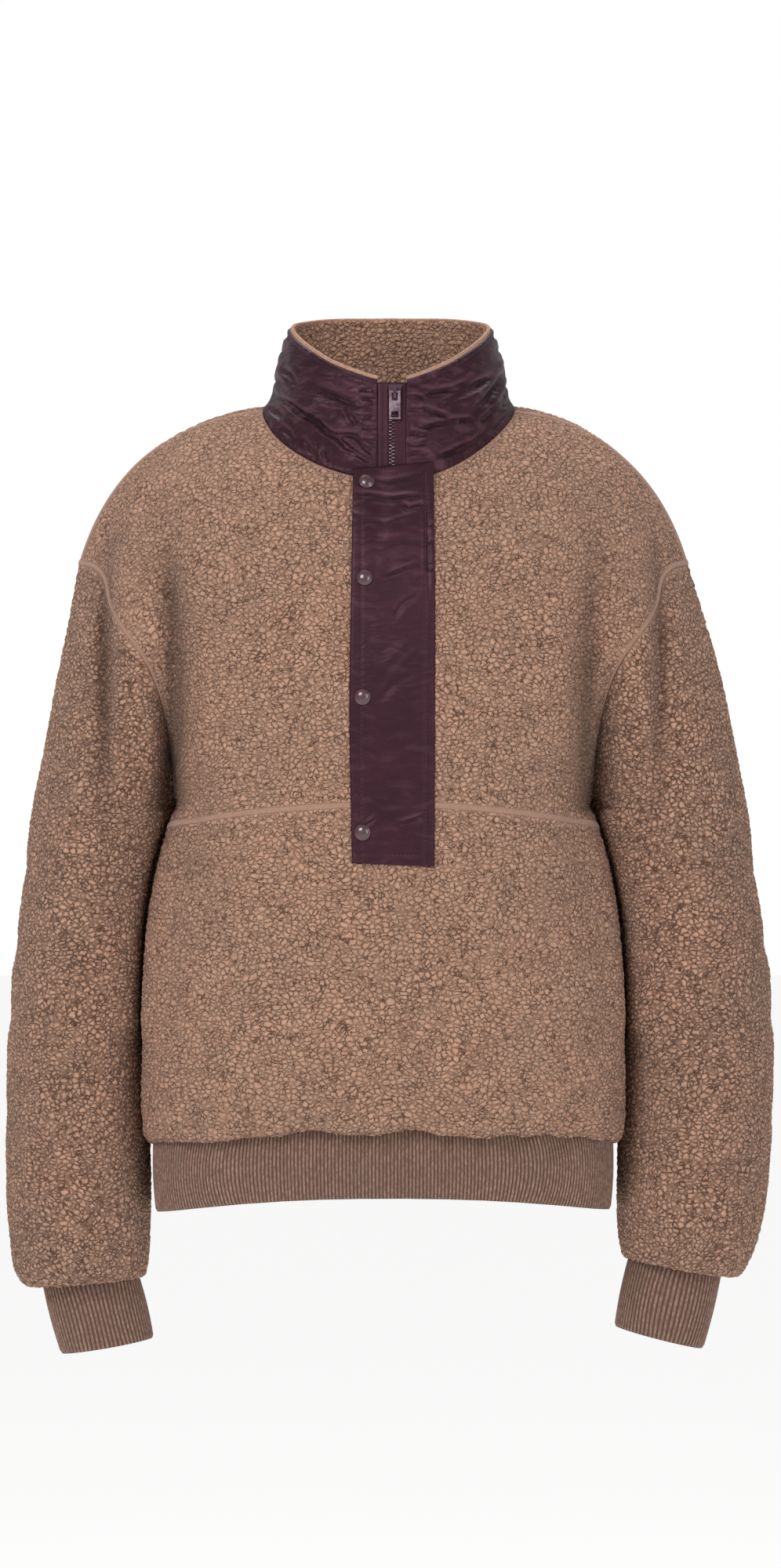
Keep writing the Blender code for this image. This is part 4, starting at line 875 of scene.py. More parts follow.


# crack_gain widens the cracks; low is the darkest painted shade at a crumb's edge.
def fleece_material(name, crack_gain=1.0, low=0.80):
    mat, n, shader = new_material(name)
    rest = n.field("rest").outputs["Vector"]
    pile = n.field("pile").outputs["Fac"]
    place, far = crumbs(n, rest)
    uneven = n.noise(rest, 70.0, 2.0).outputs["Fac"]
    width = n.ramp(uneven, 0.30, 0.70, 0.085 * crack_gain, 0.15 * crack_gain)
    crack = n.math("SUBTRACT", 1.0, n.ramp(n.math("DIVIDE", far, width), 0.0, 1.0))
    crack = n.math("MULTIPLY", crack, n.ramp(n.noise(rest, 210.0, 1.0).outputs["Fac"], 0.34, 0.60, 0.48, 1.0))
    small = n.add("ShaderNodeTexVoronoi", {"Vector": place, "Scale": 480.0}, feature="DISTANCE_TO_EDGE")
    bits = n.math("SUBTRACT", 1.0, n.ramp(small.outputs["Distance"], 0.0, 0.16))
    bits = n.math("MULTIPLY", bits, n.ramp(n.noise(rest, 55.0, 1.0).outputs["Fac"], 0.42, 0.7, 0.0, 0.30))
    crack = n.math("MULTIPLY", n.math("MAXIMUM", crack, bits), pile)
    cell = n.add("ShaderNodeTexVoronoi", {"Vector": place, "Scale": CRUMB_SCALE}, feature="F1")
    tone = n.ramp(cell.outputs["Color"], 0.0, 1.0, 0.94, 1.07, soft=False)
    fibre = n.noise(rest, 1300.0, 3.0, 0.75).outputs["Fac"]
    patch = n.ramp(n.noise(rest, 16.0, 3.0, 0.6).outputs["Fac"], 0.35, 0.65)
    top = n.mix(patch, rgb(195, 150, 126), rgb(185, 146, 123))
    # Lighter fibre speckles: a painted highlight on the fibre tips.
    top = n.mix(n.math("MULTIPLY", n.ramp(fibre, 0.35, 0.75), 0.45), top, rgb(210, 168, 143))
    top = n.vmath("SCALE", top)
    top.node.inputs["Scale"].default_value = 1.0
    # Painted shade: each crumb darkens towards its cracks, down to low, and the cloth darkens in its troughs by the
    # hollow field; tone is each crumb's own random tone.
    shade = n.math("MULTIPLY", n.ramp(far, 0.0, 0.32, low, 1.0), tone)
    shade = n.math("MULTIPLY", shade, n.ramp(n.field("hollow").outputs["Fac"], 0.0, 1.0, 1.0, 0.46, soft=False))
    n.tree.links.new(shade, top.node.inputs["Scale"])
    # Dark crack colour: painted shade down in the cracks between crumbs, in the small cracks too.
    crack_shade = rgb(76, 50, 38)
    colour = n.mix(n.math("MULTIPLY", crack, 0.97), top, crack_shade)
    n.tree.links.new(colour, shader.inputs["Base Color"])
    dome = n.math("MULTIPLY", n.ramp(far, 0.0, 0.34), pile)
    lump = n.noise(rest, 520.0, 2.0).outputs["Fac"]
    height = n.math("MULTIPLY", dome, 0.85)
    height = n.math("MULTIPLY_ADD", crack, -0.40, height)
    height = n.math("MULTIPLY_ADD", lump, 0.55, height)
    height = n.math("MULTIPLY_ADD", fibre, 0.28, height)
    bump = n.add("ShaderNodeBump", {"Height": height, "Strength": 1.0, "Distance": 0.0011})
    n.tree.links.new(bump.outputs[0], shader.inputs["Normal"])
    shader.inputs["Roughness"].default_value = 0.95
    shader.inputs["Specular IOR Level"].default_value = 0.15
    shader.inputs["Sheen Weight"].default_value = 0.30
    shader.inputs["Sheen Roughness"].default_value = 0.55
    shader.inputs["Sheen Tint"].default_value = rgb(225, 200, 186)
    return mat


def band_material(name):
    """Flat stitched band of a coverstitched seam: a ladder of threads across it."""
    mat, n, shader = new_material(name)
    along = n.field("along").outputs["Fac"]
    across = n.field("across").outputs["Fac"]
    rest = n.field("rest").outputs["Vector"]
    shift = n.math("MULTIPLY", across, 0.0004)
    turn = n.math("MULTIPLY", n.math("ADD", along, shift), 2 * math.pi / 0.0011)
    thread = n.ramp(n.math("SINE", turn), -0.7, 0.9)
    needle = n.ramp(n.math("ABSOLUTE", n.math("SUBTRACT", n.math("ABSOLUTE", across), 0.72)), 0.0, 0.14)
    fuzz = n.noise(rest, 620.0, 4.0, 0.75).outputs["Fac"]
    light = n.mix(n.ramp(fuzz, 0.3, 0.7), rgb(172, 134, 113), rgb(198, 158, 134))
    colour = n.mix(n.math("MULTIPLY_ADD", thread, 0.45, 0.3), rgb(158, 122, 104), light)
    colour = n.mix(n.math("MULTIPLY_ADD", needle, -0.45, 0.45), colour, rgb(122, 90, 75))
    n.tree.links.new(colour, shader.inputs["Base Color"])
    height = n.math("MULTIPLY_ADD", thread, 0.35, n.math("MULTIPLY", needle, 0.5))
    height = n.math("MULTIPLY_ADD", fuzz, 1.1, height)
    bump = n.add("ShaderNodeBump", {"Height": height, "Strength": 0.9, "Distance": 0.0006})
    n.tree.links.new(bump.outputs[0], shader.inputs["Normal"])
    shader.inputs["Roughness"].default_value = 0.9
    shader.inputs["Sheen Weight"].default_value = 0.25
    shader.inputs["Sheen Roughness"].default_value = 0.5
    shader.inputs["Specular IOR Level"].default_value = 0.15
    return mat


def rib_material(name):
    """Heathered rib knit: light wales and furrows darkened by painted shade, small knitted loops up each wale."""
    mat, n, shader = new_material(name)
    rest = n.field("rest").outputs["Vector"]
    wale = n.field("wale").outputs["Fac"]
    heather = n.noise(n.vmath("MULTIPLY", rest, (1.0, 1.0, 0.45)), 620.0, 3.0, 0.7).outputs["Fac"]
    cloud = n.ramp(n.noise(rest, 26.0, 3.0, 0.6).outputs["Fac"], 0.35, 0.65)
    light = n.mix(cloud, rgb(166, 131, 115), rgb(156, 126, 112))
    light = n.mix(n.ramp(heather, 0.38, 0.66), rgb(124, 96, 83), light)
    # Painted shade: the furrows between wales take the darker colour.
    colour = n.mix(n.ramp(wale, 0.02, 0.75), rgb(92, 69, 58), light)
    n.tree.links.new(colour, shader.inputs["Base Color"])
    z = n.add("ShaderNodeSeparateXYZ", {0: rest}).outputs["Z"]
    loops = n.math("SINE", n.math("MULTIPLY", z, 2 * math.pi / 0.0013))
    height = n.math("MULTIPLY_ADD", loops, 0.18, n.math("MULTIPLY", heather, 0.8))
    bump = n.add("ShaderNodeBump", {"Height": height, "Strength": 0.6, "Distance": 0.0003})
    n.tree.links.new(bump.outputs[0], shader.inputs["Normal"])
    shader.inputs["Roughness"].default_value = 0.88
    shader.inputs["Specular IOR Level"].default_value = 0.2
    shader.inputs["Sheen Weight"].default_value = 0.18
    shader.inputs["Sheen Roughness"].default_value = 0.5
    return mat


def nylon_material(name, crinkle=1.0):
    """Crisp plum nylon: a very fine weave under soft crinkles, with painted shade in the crinkle lines and creases
    and painted highlights beside them.
    """
    mat, n, shader = new_material(name)
    rest = n.field("rest").outputs["Vector"]
    cloud = n.noise(rest, 30.0, 3.0, 0.6).outputs["Fac"]
    colour = n.mix(n.ramp(cloud, 0.35, 0.65), rgb(55, 30, 37), rgb(43, 24, 30))
    weave_x = n.add("ShaderNodeSeparateXYZ", {0: rest})
    a = n.math("SINE", n.math("MULTIPLY", weave_x.outputs["X"], 2 * math.pi / 0.00055))
    b = n.math("SINE", n.math("MULTIPLY", weave_x.outputs["Z"], 2 * math.pi / 0.00055))
    weave = n.math("MULTIPLY", a, b)
    colour = n.mix(n.ramp(weave, -1.0, 1.0, 0.0, 0.18), colour, rgb(76, 44, 55))
    bent = n.vmath("MULTIPLY_ADD", n.noise(rest, 60.0, 1.0).outputs["Color"], (0.01, 0.01, 0.01), rest)
    bent = n.vmath("MULTIPLY", bent, (0.5, 0.5, 1.5))
    fold = n.noise(bent, 85.0, 2.0, 0.5).outputs["Fac"]
    fold = n.math("POWER", n.math("ABSOLUTE", n.math("SUBTRACT", fold, 0.5)), 0.9)
    painted_crease_shading = n.field("hollow").outputs["Fac"]
    # Painted shade in the crinkle lines and painted highlight between them.
    colour = n.mix(n.ramp(fold, 0.01, 0.09, 0.42 * crinkle, 0.0), colour, rgb(30, 16, 22))
    colour = n.mix(n.ramp(fold, 0.11, 0.24, 0.0, 0.42 * crinkle), colour, rgb(92, 62, 74))
    # The hollow field paints highlight above each crease where negative and shade in it where positive.
    colour = n.mix(n.ramp(painted_crease_shading, -1.0, 0.0, 0.85, 0.0, soft=False), colour, rgb(106, 74, 86))
    colour = n.mix(n.ramp(painted_crease_shading, 0.0, 1.0, 0.0, 1.0, soft=False), colour, rgb(24, 13, 19))
    n.tree.links.new(colour, shader.inputs["Base Color"])
    fine = n.noise(bent, 260.0, 2.0, 0.55).outputs["Fac"]
    height = n.math("MULTIPLY", fold, 3.6 * crinkle)
    height = n.math("MULTIPLY_ADD", fine, 0.35 * crinkle, height)
    height = n.math("MULTIPLY_ADD", weave, 0.03, height)
    bump = n.add("ShaderNodeBump", {"Height": height, "Strength": 0.55, "Distance": 0.0010})
    n.tree.links.new(bump.outputs[0], shader.inputs["Normal"])
    gloss = n.ramp(cloud, 0.3, 0.7, 0.30, 0.40)
    n.tree.links.new(gloss, shader.inputs["Roughness"])
    shader.inputs["Specular IOR Level"].default_value = 0.42
    shader.inputs["Sheen Weight"].default_value = 0.02
    shader.inputs["Sheen Roughness"].default_value = 0.4
    shader.inputs["Specular Tint"].default_value = rgb(214, 160, 182)
    shader.inputs["Sheen Tint"].default_value = rgb(170, 130, 150)
    return mat


def metal_material(name, dark, light, rough, metal=1.0, coat=0.0):
    mat, n, shader = new_material(name)
    where = n.add("ShaderNodeTexCoord").outputs["Object"]
    wear = n.noise(where, 420.0, 4.0, 0.65).outputs["Fac"]
    cloud = n.noise(where, 160.0, 2.0).outputs["Fac"]
    colour = n.mix(n.ramp(cloud, 0.35, 0.65), dark, light)
    n.tree.links.new(colour, shader.inputs["Base Color"])
    n.tree.links.new(n.ramp(wear, 0.3, 0.7, rough * 0.8, rough * 1.25), shader.inputs["Roughness"])
    bump = n.add("ShaderNodeBump", {"Height": wear, "Strength": 0.12, "Distance": 0.0001})
    n.tree.links.new(bump.outputs[0], shader.inputs["Normal"])
    shader.inputs["Metallic"].default_value = metal
    shader.inputs["Coat Weight"].default_value = coat
    shader.inputs["Coat Roughness"].default_value = 0.12
    return mat


def thread_material(name, dark, light):
    mat, n, shader = new_material(name)
    where = n.add("ShaderNodeTexCoord").outputs["Object"]
    twist = n.noise(where, 1500.0, 2.0).outputs["Fac"]
    n.tree.links.new(n.mix(n.ramp(twist, 0.35, 0.65), dark, light), shader.inputs["Base Color"])
    bump = n.add("ShaderNodeBump", {"Height": twist, "Strength": 0.5, "Distance": 0.0002})
    n.tree.links.new(bump.outputs[0], shader.inputs["Normal"])
    shader.inputs["Roughness"].default_value = 0.6
    return mat


def relief_tree():
    """Geometry nodes that raise the crumbs from the same cells as the fleece material."""
    tree = bpy.data.node_groups.new("crumb_relief", "GeometryNodeTree")
    tree.interface.new_socket("Geometry", in_out="INPUT", socket_type="NodeSocketGeometry")
    tree.interface.new_socket("Geometry", in_out="OUTPUT", socket_type="NodeSocketGeometry")
    n = Nodes(tree)
    start = n.add("NodeGroupInput")
    end = n.add("NodeGroupOutput")
    rest = n.add("GeometryNodeInputNamedAttribute", {"Name": "rest"}, data_type="FLOAT_VECTOR").outputs[0]
    pile = n.add("GeometryNodeInputNamedAttribute", {"Name": "pile"}, data_type="FLOAT").outputs[0]
    far = crumbs(n, rest)[1]
    height = n.ramp(far, 0.0, 0.36, -0.00045, 0.00070)
    height = n.math("MULTIPLY", height, pile)
    offset = n.add("ShaderNodeVectorMath", {0: n.add("GeometryNodeInputNormal").outputs[0], "Scale": height},
                   operation="SCALE").outputs[0]
    move = n.add("GeometryNodeSetPosition", {"Geometry": start.outputs[0], "Offset": offset})
    tree.links.new(move.outputs[0], end.inputs[0])
    return tree


RELIEF = relief_tree()
FLEECE_MAT = fleece_material("fleece_pile")
# Shaded and lit copies of the fleece: the sleeves' copy paints wider dark cracks and deeper shade on its crumbs,
# the lining's copy paints less shade to light it in the collar's shadow.
SLEEVE_MAT = fleece_material("fleece_pile_sleeve", 1.45, 0.68)
LINING_MAT = fleece_material("fleece_pile_lining", 0.8, 0.90)
BAND_MAT = band_material("coverstitch_band")
RIB_MAT = rib_material("rib_knit")
NYLON_MAT = nylon_material("plum_nylon")
FLAP_MAT = nylon_material("plum_nylon_flap", 0.45)


def relieve(obj):
    obj.modifiers.new("relief", "NODES").node_group = RELIEF
    return applied(obj)


def dress(obj, nodes, body="garment"):
    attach(obj, body)
    if nodes:
        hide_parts(*nodes)


# Fleece panels, each a fine grid of the same surfaces as the solids.
fleece = {}
upper_rows = even(lambda v: front_point(np.full(v.shape, 0.5), v, 1), SEAM_ROW, TIP)
side_cols = even(lambda s: front_point(s, np.full(s.shape, 12.0), 1), 0, 1)
for name, side in (("front_upper_right", 1), ("front_upper_left", -1)):
    g = front_point(side_cols[None, :], upper_rows[:, None], side)
    if side < 0:
        g = g[:, ::-1]
    fleece[name] = cloth(name + "_fleece", g, FLEECE, FLEECE_MAT,
                         fields={"pile": edge_fade(g), "hollow": hollow(g)})

low = even(lambda v: front_point(np.full(v.shape, 0.5), v, 1), 0, NOTCH_ROW)
high = even(lambda v: front_point(np.full(v.shape, 0.5), v, 1), NOTCH_ROW, SEAM_ROW)
lower_rows = np.concatenate([low, high[1:]])
low_cols = even(lambda s: front_point(s, np.full(s.shape, 4.0), 1), 0, 1)


def joined(point, rows, cols):
    """Both halves of a panel, with a bridging strip between them."""
    right = point(cols[None, :], rows[:, None], 1)
    left = point(cols[None, :], rows[:, None], -1)[:, ::-1]
    share = np.linspace(0, 1, 3 * GROUP + 1)[1:-1][None, :, None]
    middle = left[:, -1:] * (1 - share) + right[:, :1] * share
    return np.concatenate([left, middle, right], axis=1)


g = joined(front_point, lower_rows, low_cols)
keep = np.ones((g.shape[0] - 1, g.shape[1] - 1), bool)
n0 = len(low_cols) - 1
keep[len(low) - 1:, n0:n0 + 3 * GROUP] = False
fleece["front_lower"] = cloth("front_lower_fleece", g, FLEECE, FLEECE_MAT, keep=keep,
                              fields={"pile": edge_fade(g), "hollow": hollow(g)})

low = even(lambda v: back_point(np.full(v.shape, 0.5), v, 1), 0, NECK_BACK)
high = even(lambda v: back_point(np.full(v.shape, 0.5), v, 1), NECK_BACK, TIP)
back_rows = np.concatenate([low, high[1:]])
g = joined(back_point, back_rows, low_cols)[:, ::-1]
keep = np.ones((g.shape[0] - 1, g.shape[1] - 1), bool)
keep[len(low) - 1:, n0:n0 + 3 * GROUP] = False
fleece["back"] = cloth("back_fleece", g, FLEECE, FLEECE_MAT, keep=keep,
                       fields={"pile": edge_fade(g), "hollow": hollow(g)})

for name, side in (("sleeve_right", 1), ("sleeve_left", -1)):
    turn = even(lambda t: sleeve_point(t, np.full(t.shape, 3.0), side), 0, 20)[:-1]
    along = even(lambda w: sleeve_point(np.full(w.shape, 10.0), w, side), 0, 11)
    g = sleeve_point(turn[None, :], along[:, None], side)[::-1]
    if side < 0:
        g = g[:, ::-1]
    pile = edge_fade(g, wrap=True)
    seam = np.minimum(turn, 20.0 - turn)
    if side < 0:
        seam = seam[::-1]
    pile = pile * ease(seam / 0.12)[None, :]
    fleece[name] = cloth(name + "_fleece", g, FLEECE, SLEEVE_MAT, wrap=True,
                         fields={"pile": pile, "hollow": hollow(g)})
for name, obj in fleece.items():
    relieve(obj)
    dress(obj, [name])


def ribbon(name, line, across, out, half, lift, mat):
    """Narrow raised band along a line: seven points across, with its edges tucked in."""
    share = np.array([-1.0, -0.86, -0.5, 0.0, 0.5, 0.86, 1.0])
    rise = np.array([-0.0010, 0.0, 0.0003, 0.0004, 0.0003, 0.0, -0.0010])
    run = np.arange(len(line))
    half = half * (1.0 + 0.05 * np.sin(run / 2.3) + 0.05 * np.sin(run / 5.9 + 1.0))
    verts = (line[:, None] + across[:, None] * (share[None, :] * half[:, None])[..., None]
             + out[:, None] * (rise + lift)[None, :, None])
    rows, cols = verts.shape[:2]
    index = np.arange(rows * cols).reshape(rows, cols)
    quads = np.stack([index[:-1, :-1], index[:-1, 1:], index[1:, 1:], index[1:, :-1]], axis=-1)
    obj = add_object(name, verts.reshape(-1, 3), quads.reshape(-1, 4).tolist(), mat)
    length = np.concatenate([[0.0], np.cumsum(np.linalg.norm(np.diff(line, axis=0), axis=1))])
    set_field(obj, "along", np.repeat(length, cols))
    set_field(obj, "across", np.tile(share, rows))
    set_field(obj, "rest", verts.reshape(-1, 3))
    return obj


def unit(v):
    return v / (np.linalg.norm(v, axis=-1, keepdims=True) + 1e-12)


# Coverstitched bands: the chest seam, and the armhole seams on the body's side.
bands = []
for side, label in ((1, "right"), (-1, "left")):
    s = np.linspace(0.0, 0.995, 260)
    line = front_point(s, np.full(s.shape, SEAM_ROW), side)
    above = front_point(s, np.full(s.shape, SEAM_ROW + 0.08), side)
    across = unit(above - line)
    out = unit(np.cross(np.gradient(line, axis=0) * side, across))
    bands.append(ribbon("chest_seam_band_" + label, line, across * side, out, 0.0029, 0.0003, BAND_MAT))
    for panel, point, sign in (("front", front_point, 1), ("back", back_point, -1)):
        v = np.linspace(UNDERARM + 0.05, TIP, 300)
        edge = point(np.ones(v.shape), v, side)
        inside = point(np.full(v.shape, 0.985), v, side)
        toward = unit(inside - edge)
        out = unit(np.cross(np.gradient(edge, axis=0), toward)) * side * sign
        line = edge + toward * 0.0022
        bands.append(ribbon("armhole_band_%s_%s" % (panel, label), line, toward * -side * sign, out, 0.0024,
                            0.0003, BAND_MAT))
    s = np.linspace(0.0, 1.0, 160)
    line = front_point(s, np.full(s.shape, TIP - 0.12), side)
    above = front_point(s, np.full(s.shape, TIP - 0.04), side)
    across = unit(above - line)
    out = unit(np.cross(np.gradient(line, axis=0) * side, across))
    bands.append(ribbon("shoulder_band_" + label, line, across * side, out, 0.0026, 0.0003, BAND_MAT))
for obj in bands:
    dress(obj, [])


def ring_at(loop, count, offset):
    """Points at count even places along a closed loop, moved along it by offset in metres."""
    closed = np.vstack([loop, loop[:1]])
    length = np.concatenate([[0.0], np.cumsum(np.linalg.norm(np.diff(closed, axis=0), axis=1))])
    at = (np.arange(count) / count * length[-1] + offset) % length[-1]
    return np.stack([np.interp(at, length, closed[:, k]) for k in range(3)], axis=1)


def ribbed(name, top, bottom, ribs, rows, centre_top, centre_bottom, bulge, twist, side_folds):
    """Rib-knit tube: rounded wales and narrow furrows, six points to a rib."""
    per = 6
    count = ribs * per
    phase = np.arange(count) % per / per
    wave = np.cos(2 * math.pi * phase)
    wave = np.sign(wave) * np.abs(wave) ** 0.7
    grid = []
    wales = []
    for t in np.linspace(0, 1, rows + 1):
        base = ring_at(top, count, 0.0)
        offset = twist(base) * (1.0 - t) * t * 2.0
        base = ring_at(top, count, offset)
        low = ring_at(bottom, count, offset)
        ring = base * (1 - t) + low * t
        centre = centre_top * (1 - t) + centre_bottom * t
        flat = (ring - centre) * [1, 1, 0]
        out = unit(flat)
        end = min(t, 1 - t)
        height = 0.5 * RIB_HEIGHT * float(ease(np.array(end / 0.035))) * wave
        swell = bulge * math.sin(math.pi * t) - 0.0006 * (t > 0.999)
        ring = ring + out * (height + swell)[:, None]
        front = ease((-ring[:, 1] - 0.02) / 0.05)
        back = ease((ring[:, 1] - 0.02) / 0.05)
        x, z = ring[:, 0] * 1000, ring[:, 2] * 1000
        ring[:, 1] += 0.001 * (front * crease_depth(x, z, side_folds) - back * crease_depth(x, z, side_folds))
        grid.append(ring)
        # wales: 1 on a wale's crest and 0 in a furrow, for the painted shade in the furrows.
        wales.append(wave * 0.5 + 0.5)
    g = np.array(grid)[::-1]
    wales = np.array(wales)[::-1]
    out = unit((g - centre_top) * [1, 1, 0])
    if np.cross(g[0, 1] - g[0, 0], g[1, 0] - g[0, 0]) @ out[0, 0] < 0:
        g, wales, out = g[:, ::-1], wales[:, ::-1], out[:, ::-1]
    obj = cloth(name, g, RIB, RIB_MAT, wrap=True, fields={"wale": wales}, normals=out)
    return obj


s = np.linspace(0, 1, 121)
zero = np.zeros(121)
loop = np.vstack([
    front_point(s, zero, 1, cut=False), back_point(s, zero, 1, cut=False)[::-1][1:],
    back_point(s, zero, -1, cut=False)[1:], front_point(s, zero, -1, cut=False)[::-1][1:-1],
])
bottom = loop.copy()
share = np.clip(np.abs(loop[:, 0]) / 0.186, 0, 1)
bottom[:, 0] = loop[:, 0] * (1.0 - 0.012 * share)
bottom[:, 1] = loop[:, 1] * 0.985
drop = np.where(loop[:, 1] < 0, 0.0, 0.003) * ease(np.abs(loop[:, 1]) / 0.05)
bottom[:, 2] = -0.6015 - 0.0155 * share**2.2 - drop
HEM_FOLDS = [
    ([(-149, -548), (-146, -566), (-136, -588)], 3.0, 8),
    ([(131, -548), (124, -568), (112, -590)], 3.2, 8),
    ([(-104, -548), (-100, -562), (-98, -580)], 1.8, 8),
    ([(92, -548), (88, -562), (84, -578)], 1.8, 8),
    ([(-40, -548), (-42, -564), (-38, -582)], 1.2, 9),
    ([(36, -548), (40, -564), (36, -580)], 1.2, 9),
    ([(164, -556), (160, -574), (154, -600)], 1.6, 8),
    ([(-172, -556), (-168, -574), (-164, -600)], 1.6, 8),
]


def hem_twist(p):
    x = p[:, 0]
    front = ease((-p[:, 1] - 0.02) / 0.05)
    lean_right = 0.010 * np.exp(-(((x - 0.118) / 0.035) ** 2))
    lean_left = -0.008 * np.exp(-(((x + 0.135) / 0.032) ** 2))
    return front * (lean_right + lean_left)


top = loop.copy()
top[:, 2] -= 0.0007
top[:, 0] *= HEM_SPREAD
bottom[:, 0] *= HEM_SPREAD
centre = np.array([0.0, 0.0, -0.58])
hem = ribbed("hem_rib_band", top, bottom, HEM_RIBS, 24, centre, centre, 0.0012, hem_twist, HEM_FOLDS)
dress(hem, ["hem_band"])

cuffs = {}
for name, side, size in (("cuff_left", -1, CUFF_LEFT), ("cuff_right", 1, CUFF_RIGHT)):
    turns = np.linspace(0, 20, 241)[:-1]
    loop = sleeve_point(turns, np.full(240, 11.0), side)
    low_x, low_z, tilt, half_x, half_y = size[1:]
    middle = loop.mean(axis=0)
    low = loop.copy()
    angle = np.arctan2((loop[:, 1] - middle[1]) / half_y, (loop[:, 0] - middle[0]) / half_x)
    low[:, 0] = (low_x + half_x * np.cos(angle)) * 0.001
    low[:, 1] = middle[1] + half_y * 0.001 * np.sin(angle)
    low[:, 2] = low_z * 0.001 + tilt * (low[:, 0] - low_x * 0.001)
    top = loop.copy()
    top[:, 2] -= 0.0007
    top[:, :2] = middle[:2] + (top[:, :2] - middle[:2]) * 0.985
    x0 = middle[0] * 1000
    folds = [
        ([(x0 - 18, -668), (x0 - 14, -690), (x0 - 10, -708)], 1.2, 6),
        ([(x0 + 14, -664), (x0 + 12, -684), (x0 + 8, -704)], 1.2, 6),
    ]
    cuff = ribbed(name + "_rib", top, low, CUFF_RIBS, 20, middle, low.mean(axis=0), 0.0010,
                  lambda p: 0.003 * np.sin(p[:, 0] / 0.012), folds)
    cuffs[name] = cuff
    dress(cuff, [name])

# Collar: creased nylon outside, fleece inside, with a rolled and stitched rim.
rises = even(lambda r: collar_point(np.full(r.shape, 60.0), r, 1), 0, 1, 0.0014)
around = even(lambda a: collar_point(a * 180.0, np.full(a.shape, 0.5), 1), 0, 1, 0.0014)


def collar_grid(lift=0.0006):
    start = np.array([front_angle(r) for r in rises])[:, None]
    angle = start + (180.0 - start) * around[None, :]
    right = collar_point(angle, rises[:, None], 1)
    left = collar_point(angle, rises[:, None], -1)[:, ::-1]
    g = np.concatenate([right, left[:, 1:]], axis=1)
    g[..., 2] += lift
    return g, np.concatenate([angle, angle[:, ::-1][:, 1:]], axis=1)


base, angle = collar_grid()
normal = grid_normals(base)
x, y, z = (base[..., k] * 1000 for k in range(3))
front = ease((-y - 6.0) / 22.0)
rear = ease((y - 6.0) / 22.0)
flank = ease((np.abs(x) - 50.0) / 24.0)
rise = np.broadcast_to(rises[:, None], x.shape)
middle = ease(rise / 0.12) * ease((0.93 - rise) / 0.06)
depth = front * crease_depth(x, z, COLLAR_CREASES)
depth += rear * crease_depth(x, z, COLLAR_BACK_CREASES)
depth += 0.65 * flank * (1 - 0.6 * front) * crease_depth(y * np.sign(x), z, COLLAR_SIDE_CREASES)
puff = 2.3 * np.sin(math.pi * np.clip(rise / 0.94, 0, 1)) ** 0.7 * ease((np.abs(x) - 12.0) / 10.0)
crumple = 0.5 * np.sin(x / 6.3 + 2.0 * np.sin(z / 9.0)) * np.sin(z / 5.1 + 1.7 * np.sin(y / 8.0))
puckers = 0.35 * np.sin(angle * 2.3) * np.exp(-(rise / 0.07)) + 0.25 * np.sin(angle * 3.1) * np.exp(
    -np.abs(rise - 0.93) / 0.03)
groove = 0.8 * np.exp(-(((rise - 0.935) / 0.012) ** 2))
roll = 0.55 * np.sqrt(np.clip(1.0 - ((rise - 0.968) / 0.034) ** 2, 0, 1))
tuck = 1.3 * np.clip((rise - 0.985) / 0.015, 0, 1) ** 2
shift = (puff - 1.9 * depth + crumple) * middle + puckers - groove + roll - tuck
shift = np.maximum(shift, -0.9 + 0.4 * np.tanh((shift + 0.9) / 0.8))
shell_grid = base + normal * (shift * 0.001)[..., None]
# Painted shade in the collar's creases and painted highlight just above each crease, carried in the hollow field.
dark = np.clip(depth / 1.7, 0.0, 1.0)
painted_highlight = front * crease_depth(x, z - 3.0, COLLAR_CREASES) + rear * crease_depth(x, z - 3.0, COLLAR_BACK_CREASES)
painted_highlight += flank * (1 - 0.6 * front) * crease_depth(y * np.sign(x), z - 3.0, COLLAR_SIDE_CREASES)
dark = (dark * 0.95 - (1 - dark) * np.clip(painted_highlight / 1.9, 0.0, 1.0)) * middle
shell = cloth("collar_nylon", shell_grid, NYLON, NYLON_MAT, normals=normal, fields={"hollow": dark})
dress(shell, ["collar_shell"])

lining_out = base - normal * (NYLON + 0.0004)
rise_dir = unit(base[-1] - base[-2])
foot_dir = unit(base[1] - base[0])
lift = ease((rise - 0.8) / 0.2)[..., None] * 0.0018 * rise_dir
lining_out = lining_out + lift
foot_fade = (1 - ease(rise / 0.12))[..., None]
lining_out = lining_out + foot_fade * foot_dir * LINING_LIFT
lining_grid = (lining_out - normal * LINING)[:, ::-1]
pile = ease((1.0 - rise) / 0.03) * ease(rise / 0.03)
lining = cloth("collar_fleece_lining", lining_grid, LINING, LINING_MAT, normals=-normal[:, ::-1],
               fields={"pile": pile[:, ::-1]})
relieve(lining)
dress(lining, ["collar_lining"])

# The lining's edge rolls over the rim as a soft brushed cord.
rim_line = 0.5 * (lining_out[-1] + (lining_out - normal * LINING)[-1])
rim_out = normal[-1]
ring_turn = np.linspace(0, 2 * math.pi, 9)[:-1]
tube = (rim_line[:, None] + rim_out[:, None] * (np.cos(ring_turn) * 0.00145)[None, :, None]
        + rise_dir[:, None] * (np.sin(ring_turn) * 0.0011)[None, :, None])
rows = len(tube)
index = np.arange(rows * 8).reshape(rows, 8)
quads = np.stack([index[:-1], np.roll(index, -1, axis=1)[:-1], np.roll(index, -1, axis=1)[1:], index[1:]], axis=-1)
caps = [index[0][::-1].tolist(), index[-1].tolist()]
rim_roll = add_object("collar_rim_edge", tube.reshape(-1, 3), quads.reshape(-1, 4).tolist() + caps, LINING_MAT)
set_field(rim_roll, "rest", tube.reshape(-1, 3))
set_field(rim_roll, "pile", np.full(rows * 8, 0.25))
dress(rim_roll, [])


